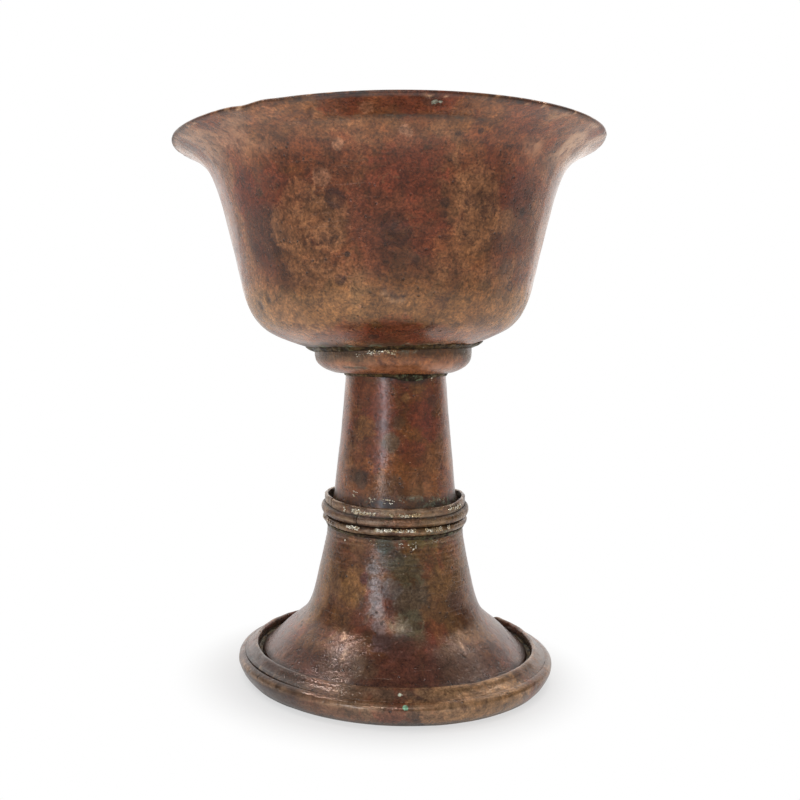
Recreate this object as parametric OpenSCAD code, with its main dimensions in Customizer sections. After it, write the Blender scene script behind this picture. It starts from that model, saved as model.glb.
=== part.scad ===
// Footed copper bowl: a bell-shaped bowl with a turned-out lip, on a tapered tube stem with a
// ringed knop and a trumpet foot. Raised and rolled from sheet, riveted and soldered.
// Millimetres, +Z up. z = 0 is the resting plane. The Z axis is the bowl's own axis; the stem
// and the foot share an axis that stands off from it along X by bowl_set_off.

/* [Overall] */
// Height from the resting plane to the top of the lip
total_h = 160; // [158:0.5:166]
// How far the stem stands off the bowl's axis, from a rivet hole punched off centre
bowl_set_off = 3.1; // [0:0.1:3.5]
// Thickness of the raised and rolled sheet
sheet_t = 1.1; // [0.9:0.05:1.2]

/* [Bowl] */
// Radius of the bowl's mouth, at the lip's outer edge
mouth_r = 63.5; // [62:0.25:67]
// Radius of the bowl's flat bottom, which stands on the stem
bowl_flat_r = 17.6; // [17:0.1:18.4]

/* [Collar under the bowl] */
// Outer radius of the collar
collar_r = 23.7; // [23.4:0.1:24.4]
// How far the collar stands off the stem's axis, back towards the bowl's
collar_set_off = 1; // [0:0.1:1.2]

/* [Stem] */
// Outer radius of the stem where it enters the collar
stem_top_r = 15.1; // [14.2:0.1:15.4]
// Outer radius of the stem where it enters the knop
stem_low_r = 18.45; // [17.5:0.05:18.8]
// Depth of the lap between the stem and the neck of the foot
lap_h = 8; // [5:0.5:12]

/* [Knop] */
// Height of the knop's upper lip above the resting plane
knop_top_z = 55.3; // [54.5:0.1:56]
// Outer radius of the knop's sleeve
sleeve_r = 21.4; // [21.3:0.05:21.8]
// Outer radius of the half-round band
band_r = 22.5; // [22.2:0.05:23.2]
// Outer radius of the lower wire
wire_r = 22; // [21.8:0.05:22.4]
// Width of the open butt seams in the knop's rings and the foot's rim band
seam_w = 0.4; // [0.2:0.05:0.8]

/* [Foot] */
// Outer radius of the neck of the foot
neck_r = 20.3; // [20.1:0.05:20.5]
// Outer radius of the foot's rim band
foot_r = 47.7; // [47.2:0.1:49]
// Height of the seat ring's upright edge
seat_h = 9.9; // [9.4:0.1:10.4]

/* [Rivet] */
// Radius of the rivet's shank
rivet_r = 2.6; // [2:0.1:3.2]
// Radius of the rivet's domed head
rivet_head_r = 6; // [5:0.1:7]
// Height of the rivet's domed head
rivet_head_h = 2.4; // [1.6:0.1:3]

/* [Hidden] */

$fn = 128;
// clearance between pieces that were fitted and then soldered or riveted
fit = 0.05;

old_copper = [0.36, 0.20, 0.14];
red_copper = [0.45, 0.23, 0.15];
bronze = [0.33, 0.22, 0.15];
solder_grey = [0.42, 0.41, 0.35];

bottom_z = 97.8;
collar_z = 91.8;
// the stem's outside and inside at any height above the knop, a straight taper
function stem_r(z) = stem_top_r + (stem_low_r - stem_top_r) * (collar_z - z) / (collar_z - knop_top_z);
function stem_in_r(z) = stem_r(z) - sheet_t;
neck_top_z = knop_top_z - 2.9;
lap_r = neck_r - sheet_t - fit;

// one span of a Catmull-Rom curve, from b to c
function span(a, b, c, d, t) =
    0.5 * (2 * b + (c - a) * t + (2 * a - 5 * b + 4 * c - d) * t * t + (3 * b - a - 3 * c + d) * t * t * t);
// a smooth curve through the points p, with n steps between each two
function curve(p, n) = concat(
    [for (i = [0:len(p) - 2], j = [0:n - 1])
        span(p[max(i - 1, 0)], p[i], p[i + 1], p[min(i + 2, len(p) - 1)], j / n)],
    [p[len(p) - 1]]);
// the same curve moved sideways by d, to its left
function beside(p, d) = [for (i = [0:len(p) - 1])
    let (a = p[max(i - 1, 0)], b = p[min(i + 1, len(p) - 1)], v = (b - a) / norm(b - a))
    p[i] + d * [-v[1], v[0]]];
function rev(p) = [for (i = [len(p) - 1:-1:0]) p[i]];
// an arc of radius r about c, from angle a to angle b
function arc(c, r, a, b, n) = [for (i = [0:n]) let (t = a + (b - a) * i / n) c + r * [cos(t), sin(t)]];

// moves what stands on the stem's axis
module on_stem(z = 0) translate([bowl_set_off, 0, z]) children();
// an open butt seam: the slot left where a ring's two ends meet
module seam(angle, r_in, r_out, z, h)
    rotate([0, 0, angle]) translate([r_in, -seam_w / 2, z]) cube([r_out - r_in, seam_w, h]);

// Outside of the bowl: a flat bottom, a low shallow underside, a tight turn into a wall that
// rises with a slight flare, and a lip that turns out almost flat
bowl_curve = curve([
    [bowl_flat_r, bottom_z], [20.5, 98.3], [24.2, 99.5], [28.8, 101.2], [33.4, 103.2], [36.8, 105.2],
    [39.4, 107.8], [41.1, 110.5], [42.3, 113.5], [43.2, 117], [44.3, 122], [45.4, 127], [46.6, 132],
    [47.9, 137.4], [49.2, 142.4], [50.7, 147], [52.4, 150.8], [54.8, 153.8], [58, 156.3],
    [61, 157.9], [mouth_r - 0.6, total_h - 1.2]], 3);
module bowl_envelope()
    rotate_extrude() polygon(concat([[0, bottom_z]],
        [for (q = bowl_curve) if (q[1] < 107) q], [[38.5, 107.2], [0, 107.2]]));

module bowl() color(old_copper)
    difference() {
        rotate_extrude() polygon(concat(
            [[0, bottom_z]],
            bowl_curve,
            arc([mouth_r - 0.6, total_h - 0.6], 0.6, -50, 120, 6),
            rev([for (q = beside(bowl_curve, sheet_t)) if (q[1] < total_h - 0.6) q]),
            [[0, bottom_z + sheet_t]]));
        on_stem(bottom_z - 1) cylinder(r = rivet_r + fit, h = sheet_t + 2);
    }

// low domed head inside the bowl, shank through bowl, cap and rove, tail peened over the rove
head_z = bottom_z + sheet_t;
rove_z = bottom_z - 3.2;
module bowl_rivet() color(red_copper)
    on_stem() rotate_extrude() polygon(concat(
        [[0, rove_z - 2], [2.2, rove_z - 2], [3.6, rove_z - 1.4], [4, rove_z - 0.6], [3.8, rove_z]],
        [[rivet_r, rove_z], [rivet_r, head_z], [rivet_head_r - 0.3, head_z]],
        [for (i = [0:9]) let (a = 10 * i)
            [rivet_head_r * cos(a), head_z + 0.4 + (rivet_head_h - 0.4) * sin(a)]]));

// thick washer that spreads the rivet's pull over the cap
module rivet_rove() color(bronze)
    on_stem(rove_z) difference() {
        cylinder(r = 6.5, h = 1.6);
        translate([0, 0, -1]) cylinder(r = rivet_r + fit, h = 4);
    }

// shallow cap with a turned-down skirt, soldered into the top of the stem; it carries the bowl
module stem_cap() color(bronze)
    on_stem() rotate_extrude() polygon([
        [rivet_r + fit, rove_z + 1.6],
        [stem_in_r(bottom_z) - sheet_t - 0.6, rove_z + 1.6],
        [stem_in_r(bottom_z) - sheet_t, rove_z + 1],
        [stem_in_r(bottom_z - 7) - sheet_t, bottom_z - 7],
        [stem_in_r(bottom_z - 7) - fit, bottom_z - 7],
        [stem_in_r(bottom_z - 0.8) - fit, bottom_z - 0.8],
        [stem_in_r(bottom_z) - fit - 0.8, bottom_z],
        [rivet_r + fit, bottom_z]]);

// Dished collar around the head of the stem. Its underside runs in to the stem, its lower edge
// is a full round, and its upright wall is scribed to the bowl's underside.
collar_low = curve([[13, collar_z], [17, collar_z], [18.9, collar_z + 0.45], [20.8, collar_z + 1.3],
    [collar_r - 1.4, collar_z + 2.4], [collar_r - 0.4, collar_z + 3.8], [collar_r, collar_z + 5.4]], 3);
module on_collar() translate([bowl_set_off - collar_set_off, 0, 0]) children();
module bowl_collar() color(red_copper)
    difference() {
        on_collar() rotate_extrude() polygon(concat(
            collar_low, [[collar_r, 102], [collar_r - sheet_t, 102]], rev(beside(collar_low, sheet_t))));
        translate([0, 0, -0.1]) bowl_envelope();
        on_stem(collar_z - 5) cylinder(r = stem_r(collar_z) + fit, h = 12);
    }

// ragged fillet of solder between the collar's wall and the bowl
module bowl_solder() color(solder_grey)
    difference() {
        on_collar() rotate_extrude() polygon([
            [collar_r + 0.01, 97.9], [collar_r + 0.3, 98.1], [collar_r + 1.0, 99.3], [collar_r + 1.2, 102],
            [collar_r + 0.01, 102]]);
        translate([0, 0, -0.01]) bowl_envelope();
    }

// bead of solder in the corner between the collar's underside and the stem
module collar_solder() color(solder_grey)
    on_stem() rotate_extrude() polygon([
        [stem_r(collar_z - 1) + 0.01, collar_z - 1], [stem_r(collar_z) + 0.4, collar_z - 0.7],
        [stem_r(collar_z) + 0.7, collar_z - 0.01], [stem_r(collar_z) + 0.01, collar_z - 0.01]]);

// Tapered tube rolled from sheet. Its top meets the bowl, and its foot opens a little and then
// runs straight down inside the neck of the foot.
module stem_tube() color(red_copper)
    on_stem() rotate_extrude() polygon([
        [stem_r(bottom_z), bottom_z - 0.01],
        [stem_in_r(bottom_z), bottom_z - 0.01],
        [stem_in_r(knop_top_z), knop_top_z],
        [lap_r - sheet_t, neck_top_z - 0.5],
        [lap_r - sheet_t, neck_top_z - lap_h],
        [lap_r, neck_top_z - lap_h],
        [lap_r, neck_top_z],
        [stem_low_r, knop_top_z]]);

// sleeve around the lap, whose upper lip stands clear of the stem
module knop_sleeve() color(old_copper)
    difference() {
        on_stem() rotate_extrude() polygon(concat(
            [[neck_r + fit, 48.8], [sleeve_r, 48.8]],
            arc([sleeve_r - 0.5, knop_top_z - 0.5], 0.5, 0, 90, 4),
            arc([neck_r + fit + 0.4, knop_top_z - 0.4], 0.4, 90, 180, 4)));
        on_stem() seam(204, 19, 24, 48, 8);
    }

// half-round band around the sleeve
module knop_band() color(bronze)
    difference() {
        on_stem() rotate_extrude() polygon(concat(
            [[sleeve_r + 0.01, 48.8]],
            arc([sleeve_r - 0.6, 50.4], band_r - sleeve_r + 0.6, -58, 58, 10),
            [[sleeve_r + 0.01, 52]]));
        on_stem() seam(236, 19, 24, 48, 8);
    }

// oval wire around the neck, under the sleeve
module knop_wire() color(old_copper)
    difference() {
        on_stem() rotate_extrude() polygon(concat(
            [[neck_r + 0.3, 45.9]],
            arc([wire_r - 1.35, 47.35], 1.35, -75, 75, 10),
            [[neck_r + 0.3, 48.78]]));
        on_stem() seam(217, 19, 24, 45, 8);
    }

// solder run into the corner under the wire
module knop_solder() color(solder_grey)
    on_stem() rotate_extrude() polygon([
        [bell_neck(44.9) + 0.01, 44.9], [bell_neck(45.3) + 0.5, 45.3], [bell_neck(45.88) + 0.7, 45.88],
        [bell_neck(45.88) + 0.01, 45.88]]);

// Trumpet foot: straight neck, waist, and a skirt that sweeps out to the seat ring
bell_low = curve([[40.2, 7.3], [36.5, 10.7], [33, 14], [29.6, 16.7], [27, 19.3], [25.2, 23], [24.1, 27],
    [23.2, 31], [22.3, 35], [21.5, 39], [20.9, 42]], 3);
function bell_neck(z) = 20.9 + (20.55 - 20.9) * (z - 42) / (46 - 42);
module foot_bell() color(red_copper)
    on_stem() rotate_extrude() polygon(concat(
        bell_low,
        [[20.55, 46], [neck_r + 0.25, 48.78], [neck_r, 48.8], [neck_r, neck_top_z], [neck_r - sheet_t, neck_top_z],
         [neck_r - sheet_t, 42]],
        rev([for (q = beside(bell_low, sheet_t)) if (q[1] < 41) q])));

// Seat ring: an upright wall that the foot's skirt drops into, with an inward flange that the
// skirt's edge rests on, and a rounded ridge that overhangs the rim band
wall_in = 41.6;
wall_out = 43;
ridge_out = 45.4;
ridge_z = 7.15;
module foot_seat_ring() color(bronze)
    on_stem() rotate_extrude() polygon(concat(
        [[wall_out, 0], [wall_out, ridge_z], [ridge_out - 0.1, ridge_z]],
        curve([[ridge_out, ridge_z + 0.25], [ridge_out - 0.4, seat_h - 1.7], [ridge_out - 1.3, seat_h - 0.8],
            [ridge_out - 2.3, seat_h - 0.2], [wall_in + 0.8, seat_h], [wall_in + 0.2, seat_h - 0.2],
            [wall_in, seat_h - 0.7]], 3),
        [[wall_in, 6.1], [37.2, 6.1], [36.6, 5.6], [36.6, 5],
         [wall_in - 0.4, 5], [wall_in, 4.6], [wall_in, 0]]));

// moulded rim band around the seat ring's wall, bent from bar and butted at its ends
module foot_rim_band() color(bronze)
    difference() {
        on_stem() rotate_extrude() polygon(concat(
            [[wall_out + 0.01, 0], [44, 0]],
            curve([[45.1, 0.5], [foot_r - 1.2, 2.1], [foot_r - 0.2, 4.1], [foot_r, 5.3], [foot_r - 0.35, 6.3],
                [foot_r - 1.2, ridge_z - 0.15], [ridge_out + 0.1, ridge_z - 0.01]], 3),
            [[wall_out + 0.01, ridge_z - 0.01]]));
        on_stem() seam(38, 40, 52, -1, 12);
    }

// bead of solder in the groove between the foot's skirt and the seat ring
module foot_solder() color(solder_grey)
    on_stem() rotate_extrude() polygon([
        [40.25, 6.12], [wall_in - 0.01, 6.12], [wall_in - 0.01, 7.2], [40.9, 6.8], [40.35, 6.95]]);

bowl();
bowl_rivet();
rivet_rove();
stem_cap();
bowl_solder();
bowl_collar();
collar_solder();
stem_tube();
knop_sleeve();
knop_band();
knop_wire();
knop_solder();
foot_bell();
foot_seat_ring();
foot_rim_band();
foot_solder();
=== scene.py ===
import bpy
import math
import numpy as np
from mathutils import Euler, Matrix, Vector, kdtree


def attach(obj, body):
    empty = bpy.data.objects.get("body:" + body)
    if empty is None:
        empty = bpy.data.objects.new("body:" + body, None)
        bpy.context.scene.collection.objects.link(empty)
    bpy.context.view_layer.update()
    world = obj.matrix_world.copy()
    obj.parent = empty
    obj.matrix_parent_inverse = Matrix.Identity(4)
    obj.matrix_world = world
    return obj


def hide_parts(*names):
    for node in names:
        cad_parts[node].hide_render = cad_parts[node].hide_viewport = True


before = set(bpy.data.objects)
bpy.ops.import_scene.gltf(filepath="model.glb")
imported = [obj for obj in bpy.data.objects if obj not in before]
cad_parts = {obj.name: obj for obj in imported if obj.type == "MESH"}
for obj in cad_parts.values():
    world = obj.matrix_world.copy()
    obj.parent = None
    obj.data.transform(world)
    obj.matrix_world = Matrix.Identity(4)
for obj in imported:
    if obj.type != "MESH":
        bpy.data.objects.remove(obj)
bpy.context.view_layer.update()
MM = 0.001

# ---------------------------------------------------------------- numbers shared with the CAD
OFF = 3.1            # the stem's axis, along +X from the bowl's
COLLAR_OFF = 2.1     # the collar's axis
SHEET = 1.1
BOTTOM = 97.8
TOP = 160.0


# ---------------------------------------------------------------- noise
def _h(ix, iy, iz, seed):
    x = (ix.astype(np.int64) * 73856093) ^ (iy.astype(np.int64) * 19349663) ^ (iz.astype(np.int64) * 83492791)
    x = (x ^ (seed * 40503)) & 0xFFFFFFFF
    x = ((x ^ (x >> 16)) * 0x45D9F3B) & 0xFFFFFFFF
    x = ((x ^ (x >> 16)) * 0x45D9F3B) & 0xFFFFFFFF
    x = x ^ (x >> 16)
    return (x & 0xFFFF).astype(np.float64) / 32767.5 - 1.0


def noise(p, wave, seed):
    """Smooth noise in -1..1 at points p, with the given wavelength (one number, or one for each axis)."""
    q = p / np.asarray(wave, float) + 911.0
    i = np.floor(q).astype(np.int64)
    f = q - i
    f = f * f * f * (f * (f * 6 - 15) + 10)
    out = 0
    for dx in (0, 1):
        wx = f[:, 0] if dx else 1 - f[:, 0]
        for dy in (0, 1):
            wy = f[:, 1] if dy else 1 - f[:, 1]
            for dz in (0, 1):
                wz = f[:, 2] if dz else 1 - f[:, 2]
                out = out + wx * wy * wz * _h(i[:, 0] + dx, i[:, 1] + dy, i[:, 2] + dz, seed)
    return out


def fbm(p, wave, seed, octaves=3, gain=0.5):
    wave = np.asarray(wave, float)
    out, amp, total = 0, 1.0, 0.0
    for k in range(octaves):
        out = out + amp * noise(p, wave / 2 ** k, seed + 17 * k)
        total += amp
        amp *= gain
    return out / total


def smooth(a, b, x):
    t = np.clip((x - a) / (b - a), 0, 1)
    return t * t * (3 - 2 * t)


# ---------------------------------------------------------------- profiles, in millimetres
def span(a, b, c, d, t):
    return 0.5 * (2 * b + (c - a) * t + (2 * a - 5 * b + 4 * c - d) * t * t + (3 * b - a - 3 * c + d) * t ** 3)


def curve(points, n=8):
    p = np.array(points, float)
    out = [span(p[max(i - 1, 0)], p[i], p[i + 1], p[min(i + 2, len(p) - 1)], j / n)
           for i in range(len(p) - 1) for j in range(n)]
    return np.array(out + [p[-1]])


def beside(p, d):
    a = np.vstack([p[:1], p[:-1]])
    b = np.vstack([p[1:], p[-1:]])
    v = (b - a) / np.linalg.norm(b - a, axis=1)[:, None]
    return p + d * np.stack([-v[:, 1], v[:, 0]], 1)


def arc(c, r, a, b, n=10):
    t = np.radians(np.linspace(a, b, n + 1))
    return np.stack([c[0] + r * np.cos(t), c[1] + r * np.sin(t)], 1)


def length(p):
    return np.r_[0, np.cumsum(np.linalg.norm(np.diff(p, axis=0), axis=1))]


def resample(p, step, fine=()):
    """Points along the polyline p, step apart, and closer inside each fine (r, z, radius, step) spot."""
    s = length(p)
    out, t = [0.0], 0.0
    while t < s[-1]:
        q = np.array([np.interp(t, s, p[:, 0]), np.interp(t, s, p[:, 1])])
        d = step
        for r, z, rad, st in fine:
            k = smooth(rad * 0.6, rad * 1.6, math.hypot(q[0] - r, q[1] - z))
            d = min(d, st + (step - st) * k)
        t += d
        out.append(min(t, s[-1]))
    if out[-1] - out[-2] < 0.3 * step:
        out.pop(-2)
    out = np.array(out)
    return np.stack([np.interp(out, s, p[:, 0]), np.interp(out, s, p[:, 1])], 1)


# ---------------------------------------------------------------- mesh building
def build(name, rows, closed_theta, closed_profile, masks, cap=True):
    """A grid mesh. rows is (n_theta, n_profile, 3) in millimetres; masks maps a name to (n_theta, n_profile)."""
    nt, npf = rows.shape[:2]
    verts = rows.reshape(-1, 3) * MM
    i = np.arange(nt if closed_theta else nt - 1)
    j = np.arange(npf if closed_profile else npf - 1)
    I, J = np.meshgrid(i, j, indexing="ij")
    I2, J2 = (I + 1) % nt, (J + 1) % npf
    faces = np.stack([I * npf + J, I2 * npf + J, I2 * npf + J2, I * npf + J2], -1).reshape(-1, 4)
    polys = faces.tolist()
    if not closed_theta and cap:
        polys.append(list(range(npf))[::1])
        polys.append(list(range((nt - 1) * npf, nt * npf))[::-1])
    me = bpy.data.meshes.new(name)
    me.from_pydata(verts.tolist(), [], polys)
    me.update()
    for k, v in masks.items():
        a = me.attributes.new(k, "FLOAT", "POINT")
        a.data.foreach_set("value", np.ascontiguousarray(v.reshape(-1), dtype=np.float32))
    for p in me.polygons:
        p.use_smooth = True
    me.validate()
    ob = bpy.data.objects.new(name, me)
    bpy.context.scene.collection.objects.link(ob)
    # outward faces
    import bmesh
    bm = bmesh.new()
    bm.from_mesh(me)
    bmesh.ops.recalc_face_normals(bm, faces=bm.faces)
    bm.to_mesh(me)
    bm.free()
    return ob


def normals2d(p, closed):
    if closed:
        a, b = np.roll(p, 1, 0), np.roll(p, -1, 0)
    else:
        a = np.vstack([p[:1], p[:-1]])
        b = np.vstack([p[1:], p[-1:]])
    v = b - a
    v = v / np.maximum(np.linalg.norm(v, axis=1), 1e-9)[:, None]
    return np.stack([v[:, 1], -v[:, 0]], 1)   # to the right of travel: outward on a counter-clockwise loop


def turned(name, prof, nth, axis_x, displace=None, masks=None, closed_profile=True, th=None, centre=None, cap=True):
    """A body of revolution from a counter-clockwise profile in (r, z), moved by displace(P, info) along its normals."""
    closed_theta = th is None
    T = np.linspace(0, 2 * np.pi, nth, endpoint=False) if closed_theta else np.radians(np.linspace(th[0], th[1], nth))
    n2 = normals2d(prof, closed_profile)
    r, z = prof[:, 0][None, :], prof[:, 1][None, :]
    ax = axis_x if centre is None else centre(prof)[None, :]
    c, s = np.cos(T)[:, None], np.sin(T)[:, None]
    P = np.stack([ax + r * c, r * s + 0 * z, z + 0 * c], -1)
    N = np.stack([n2[:, 0][None, :] * c, n2[:, 0][None, :] * s, n2[:, 1][None, :] + 0 * c], -1)
    info = {"theta": np.broadcast_to(T[:, None], P.shape[:2]).reshape(-1), "r": np.broadcast_to(r, P.shape[:2]).reshape(-1),
            "z": np.broadcast_to(z, P.shape[:2]).reshape(-1), "n": N.reshape(-1, 3),
            "k": np.broadcast_to(np.arange(len(prof))[None, :], P.shape[:2]).reshape(-1)}
    flat = P.reshape(-1, 3).copy()
    m = {}
    if displace is not None:
        d, move, m = displace(flat, info)
        flat = flat + info["n"] * d[:, None] + move
    flat[:, 2] = np.maximum(flat[:, 2], 0.0)
    m = {k: v.reshape(P.shape[:2]) for k, v in m.items()}
    return build(name, flat.reshape(P.shape), closed_theta, closed_profile, m, cap)


def dents(points, seeds, radii, depths, count=4):
    """Depth below the surface left by round hammer marks at the seeds: the deepest of the nearest few."""
    tree = kdtree.KDTree(len(seeds))
    for i, s in enumerate(seeds):
        tree.insert(Vector(s), i)
    tree.balance()
    out = np.zeros(len(points))
    for i, p in enumerate(points):
        best = 0.0
        for co, j, d in tree.find_n(Vector(p), count):
            q = 1 - (d / radii[j]) ** 2
            if q > 0 and q * depths[j] > best:
                best = q * depths[j]
        out[i] = best
    return out


def hammer_seeds(profile, spacing, axis_x, rng, jitter=0.35):
    """Seeds spread over a surface of revolution, in rings about spacing apart."""
    s = length(profile)
    out = []
    m = spacing * 0.5
    while m < s[-1]:
        r, z = np.interp(m, s, profile[:, 0]), np.interp(m, s, profile[:, 1])
        n = max(3, int(round(2 * math.pi * r / spacing)))
        a0 = rng.uniform(0, 2 * math.pi)
        for k in range(n):
            a = a0 + 2 * math.pi * (k + rng.uniform(-jitter, jitter)) / n
            mm = m + rng.uniform(-jitter, jitter) * spacing
            rr, zz = np.interp(mm, s, profile[:, 0]), np.interp(mm, s, profile[:, 1])
            out.append((axis_x + rr * math.cos(a), rr * math.sin(a), zz))
        m += spacing * 0.9
    return out


def spots(P, marks):
    """Sum of soft round marks: each is (x, y, z, radius, strength)."""
    out = np.zeros(len(P))
    for x, y, z, r, k in marks:
        d = np.linalg.norm(P - np.array([x, y, z]), axis=1)
        out += k * (1 - smooth(0.25 * r, r, d))
    return out


# ---------------------------------------------------------------- materials
def srgb(r, g, b):
    def f(c):
        c = c / 255.0
        return c / 12.92 if c <= 0.04045 else ((c + 0.055) / 1.055) ** 2.4
    return (f(r), f(g), f(b), 1.0)


TONE = 2.10    # the surface's own colour over what it looks like in a grey room
SHEEN = 0.018  # the part of what it looks like that is grey reflection


def lin(r, g, b):
    return tuple(min(0.92, max(c - SHEEN, 0.42 * c) * TONE) for c in srgb(r, g, b)[:3]) + (1.0,)


class Mat:
    """A small helper to wire a procedural material."""

    def __init__(self, name, metallic=0.9, spec=0.5, coat=0.0):
        self.m = bpy.data.materials.new(name)
        self.m.use_nodes = True
        self.t = self.m.node_tree
        self.t.nodes.clear()
        self.out = self.t.nodes.new("ShaderNodeOutputMaterial")
        self.p = self.t.nodes.new("ShaderNodeBsdfPrincipled")
        self.t.links.new(self.p.outputs[0], self.out.inputs[0])
        self.p.inputs["Metallic"].default_value = metallic
        self.p.inputs["Specular IOR Level"].default_value = spec
        if coat:
            self.p.inputs["Coat Weight"].default_value = coat
            self.p.inputs["Coat Roughness"].default_value = 0.20
        self.co = self.t.nodes.new("ShaderNodeTexCoord").outputs["Object"]
        self.sep = self.t.nodes.new("ShaderNodeSeparateXYZ")
        self.t.links.new(self.co, self.sep.inputs[0])

    def put(self, socket, v):
        if isinstance(v, bpy.types.NodeSocket):
            self.t.links.new(v, socket)
        elif isinstance(v, (tuple, list)) and socket.type == "RGBA" and len(v) == 3:
            socket.default_value = (*v, 1)
        else:
            socket.default_value = v

    def math(self, op, a, b=0.0, c=None, clamp=False):
        n = self.t.nodes.new("ShaderNodeMath")
        n.operation = op
        n.use_clamp = clamp
        self.put(n.inputs[0], a)
        self.put(n.inputs[1], b)
        if c is not None:
            self.put(n.inputs[2], c)
        return n.outputs[0]

    def scaled(self, x, y, z):
        n = self.t.nodes.new("ShaderNodeMapping")
        self.t.links.new(self.co, n.inputs["Vector"])
        n.inputs["Scale"].default_value = (x, y, z)
        return n.outputs[0]

    def cyl(self, axis_x, r, kt=1.0, kz=1.0):
        """Coordinates unrolled from a cylinder: arc length, height and radius, each stretched."""
        x = self.math("SUBTRACT", self.sep.outputs[0], axis_x)
        a = self.math("ARCTAN2", self.sep.outputs[1], x)
        c = self.t.nodes.new("ShaderNodeCombineXYZ")
        self.put(c.inputs[0], self.math("MULTIPLY", self.math("COSINE", a), r * kt))
        self.put(c.inputs[1], self.math("MULTIPLY", self.math("SINE", a), r * kt))
        self.put(c.inputs[2], self.math("MULTIPLY", self.sep.outputs[2], kz))
        return c.outputs[0]

    def noise(self, scale, detail=4.0, rough=0.55, dist=0.0, vec=None, offset=0.0):
        n = self.t.nodes.new("ShaderNodeTexNoise")
        n.inputs["Scale"].default_value = scale
        n.inputs["Detail"].default_value = detail
        n.inputs["Roughness"].default_value = rough
        n.inputs["Distortion"].default_value = dist
        m = self.t.nodes.new("ShaderNodeVectorMath")
        m.operation = "ADD"
        self.t.links.new(vec or self.co, m.inputs[0])
        m.inputs[1].default_value = (offset * 0.173, -offset * 0.091, offset * 0.127) if vec is None else (offset * 3.7, -offset * 1.9, offset * 2.3)
        self.t.links.new(m.outputs[0], n.inputs["Vector"])
        return n.outputs["Fac"]

    def cells(self, scale, vec=None, rand=1.0, feature="F1", out="Distance", smoothness=None):
        n = self.t.nodes.new("ShaderNodeTexVoronoi")
        n.feature = feature
        n.inputs["Scale"].default_value = scale
        n.inputs["Randomness"].default_value = rand
        if smoothness is not None:
            n.inputs["Smoothness"].default_value = smoothness
        self.t.links.new(vec or self.co, n.inputs["Vector"])
        return n.outputs[out]

    def range(self, v, a, b, c=0.0, d=1.0, smoothstep=True):
        n = self.t.nodes.new("ShaderNodeMapRange")
        n.interpolation_type = "SMOOTHSTEP" if smoothstep else "LINEAR"
        n.clamp = True
        self.put(n.inputs["Value"], v)
        for k, x in (("From Min", a), ("From Max", b), ("To Min", c), ("To Max", d)):
            n.inputs[k].default_value = x
        return n.outputs[0]

    def attr(self, name):
        n = self.t.nodes.new("ShaderNodeAttribute")
        n.attribute_name = name
        return n.outputs["Fac"]

    def mix(self, fac, a, b, mode="MIX"):
        n = self.t.nodes.new("ShaderNodeMix")
        n.data_type = "RGBA"
        n.blend_type = mode
        n.clamp_factor = True
        self.put(n.inputs[0], fac)
        self.put(n.inputs[6], a)
        self.put(n.inputs[7], b)
        return n.outputs[2]

    def near(self, x, y, z, r0, r1):
        """1 within r0 of a point, falling to 0 at r1 (millimetres)."""
        n = self.t.nodes.new("ShaderNodeVectorMath")
        n.operation = "DISTANCE"
        self.t.links.new(self.co, n.inputs[0])
        n.inputs[1].default_value = (x * MM, y * MM, z * MM)
        return self.range(n.outputs["Value"], r0 * MM, r1 * MM, 1.0, 0.0)

    def bump(self, height, dist, strength=1.0, normal=None):
        n = self.t.nodes.new("ShaderNodeBump")
        n.inputs["Strength"].default_value = strength
        n.inputs["Distance"].default_value = dist
        self.put(n.inputs["Height"], height)
        if normal is not None:
            self.t.links.new(normal, n.inputs["Normal"])
        return n.outputs[0]

    def finish(self, color, rough, normal=None, metal=None):
        self.put(self.p.inputs["Base Color"], color)
        self.put(self.p.inputs["Roughness"], rough)
        if normal is not None:
            self.put(self.p.inputs["Normal"], normal)
        if metal is not None:
            self.put(self.p.inputs["Metallic"], metal)
        return self.m


# ---------------------------------------------------------------- colours: metal as it looks in the room, and dull crusts
DARK = lin(64, 41, 30)
BROWN = lin(103, 62, 40)
TAN = lin(122, 83, 56)
RED = lin(98, 54, 38)
OLIVE = lin(97, 71, 46)
PLUM = lin(97, 60, 49)
ORANGE = lin(121, 77, 50)
PINK = lin(138, 97, 77)
SLATE = lin(79, 65, 53)
BRIGHT = lin(168, 132, 104)
# dark dirt, also the colour of the painted shade in hollows
DIRT_AND_SHADE = srgb(40, 31, 25)
GREEN = srgb(84, 104, 68)
JADE = srgb(96, 168, 134)
CREAM = srgb(214, 220, 196)


def calm(c, hue=0.58, tone=1.25, mid=76.0):
    """The bowl's colours differ more in tone and less in hue than the palette: pull hue in, push tone apart."""
    if c in (DIRT_AND_SHADE, CREAM, JADE, GREEN):
        return c
    s = []
    for v in c[:3]:
        v = v / TONE
        v = v + SHEEN if v > 0.42 / 0.58 * SHEEN else v / 0.42
        s.append(255.0 * (v * 12.92 if v <= 0.0031308 else 1.055 * v ** (1 / 2.4) - 0.055))
    lum = 0.30 * s[0] + 0.59 * s[1] + 0.11 * s[2]
    want = min(mid + (lum - mid) * tone, 106.0)
    full = min(1.0, want / 62.0)
    same = (want + 28.6 * full, want - 8.6 * full, want - 32.0 * full)
    out = [q + want - lum + (w - q - want + lum) * hue for q, w in zip(s, same)]
    return lin(*[min(max(q, 6.0), 250.0) for q in out])


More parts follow.
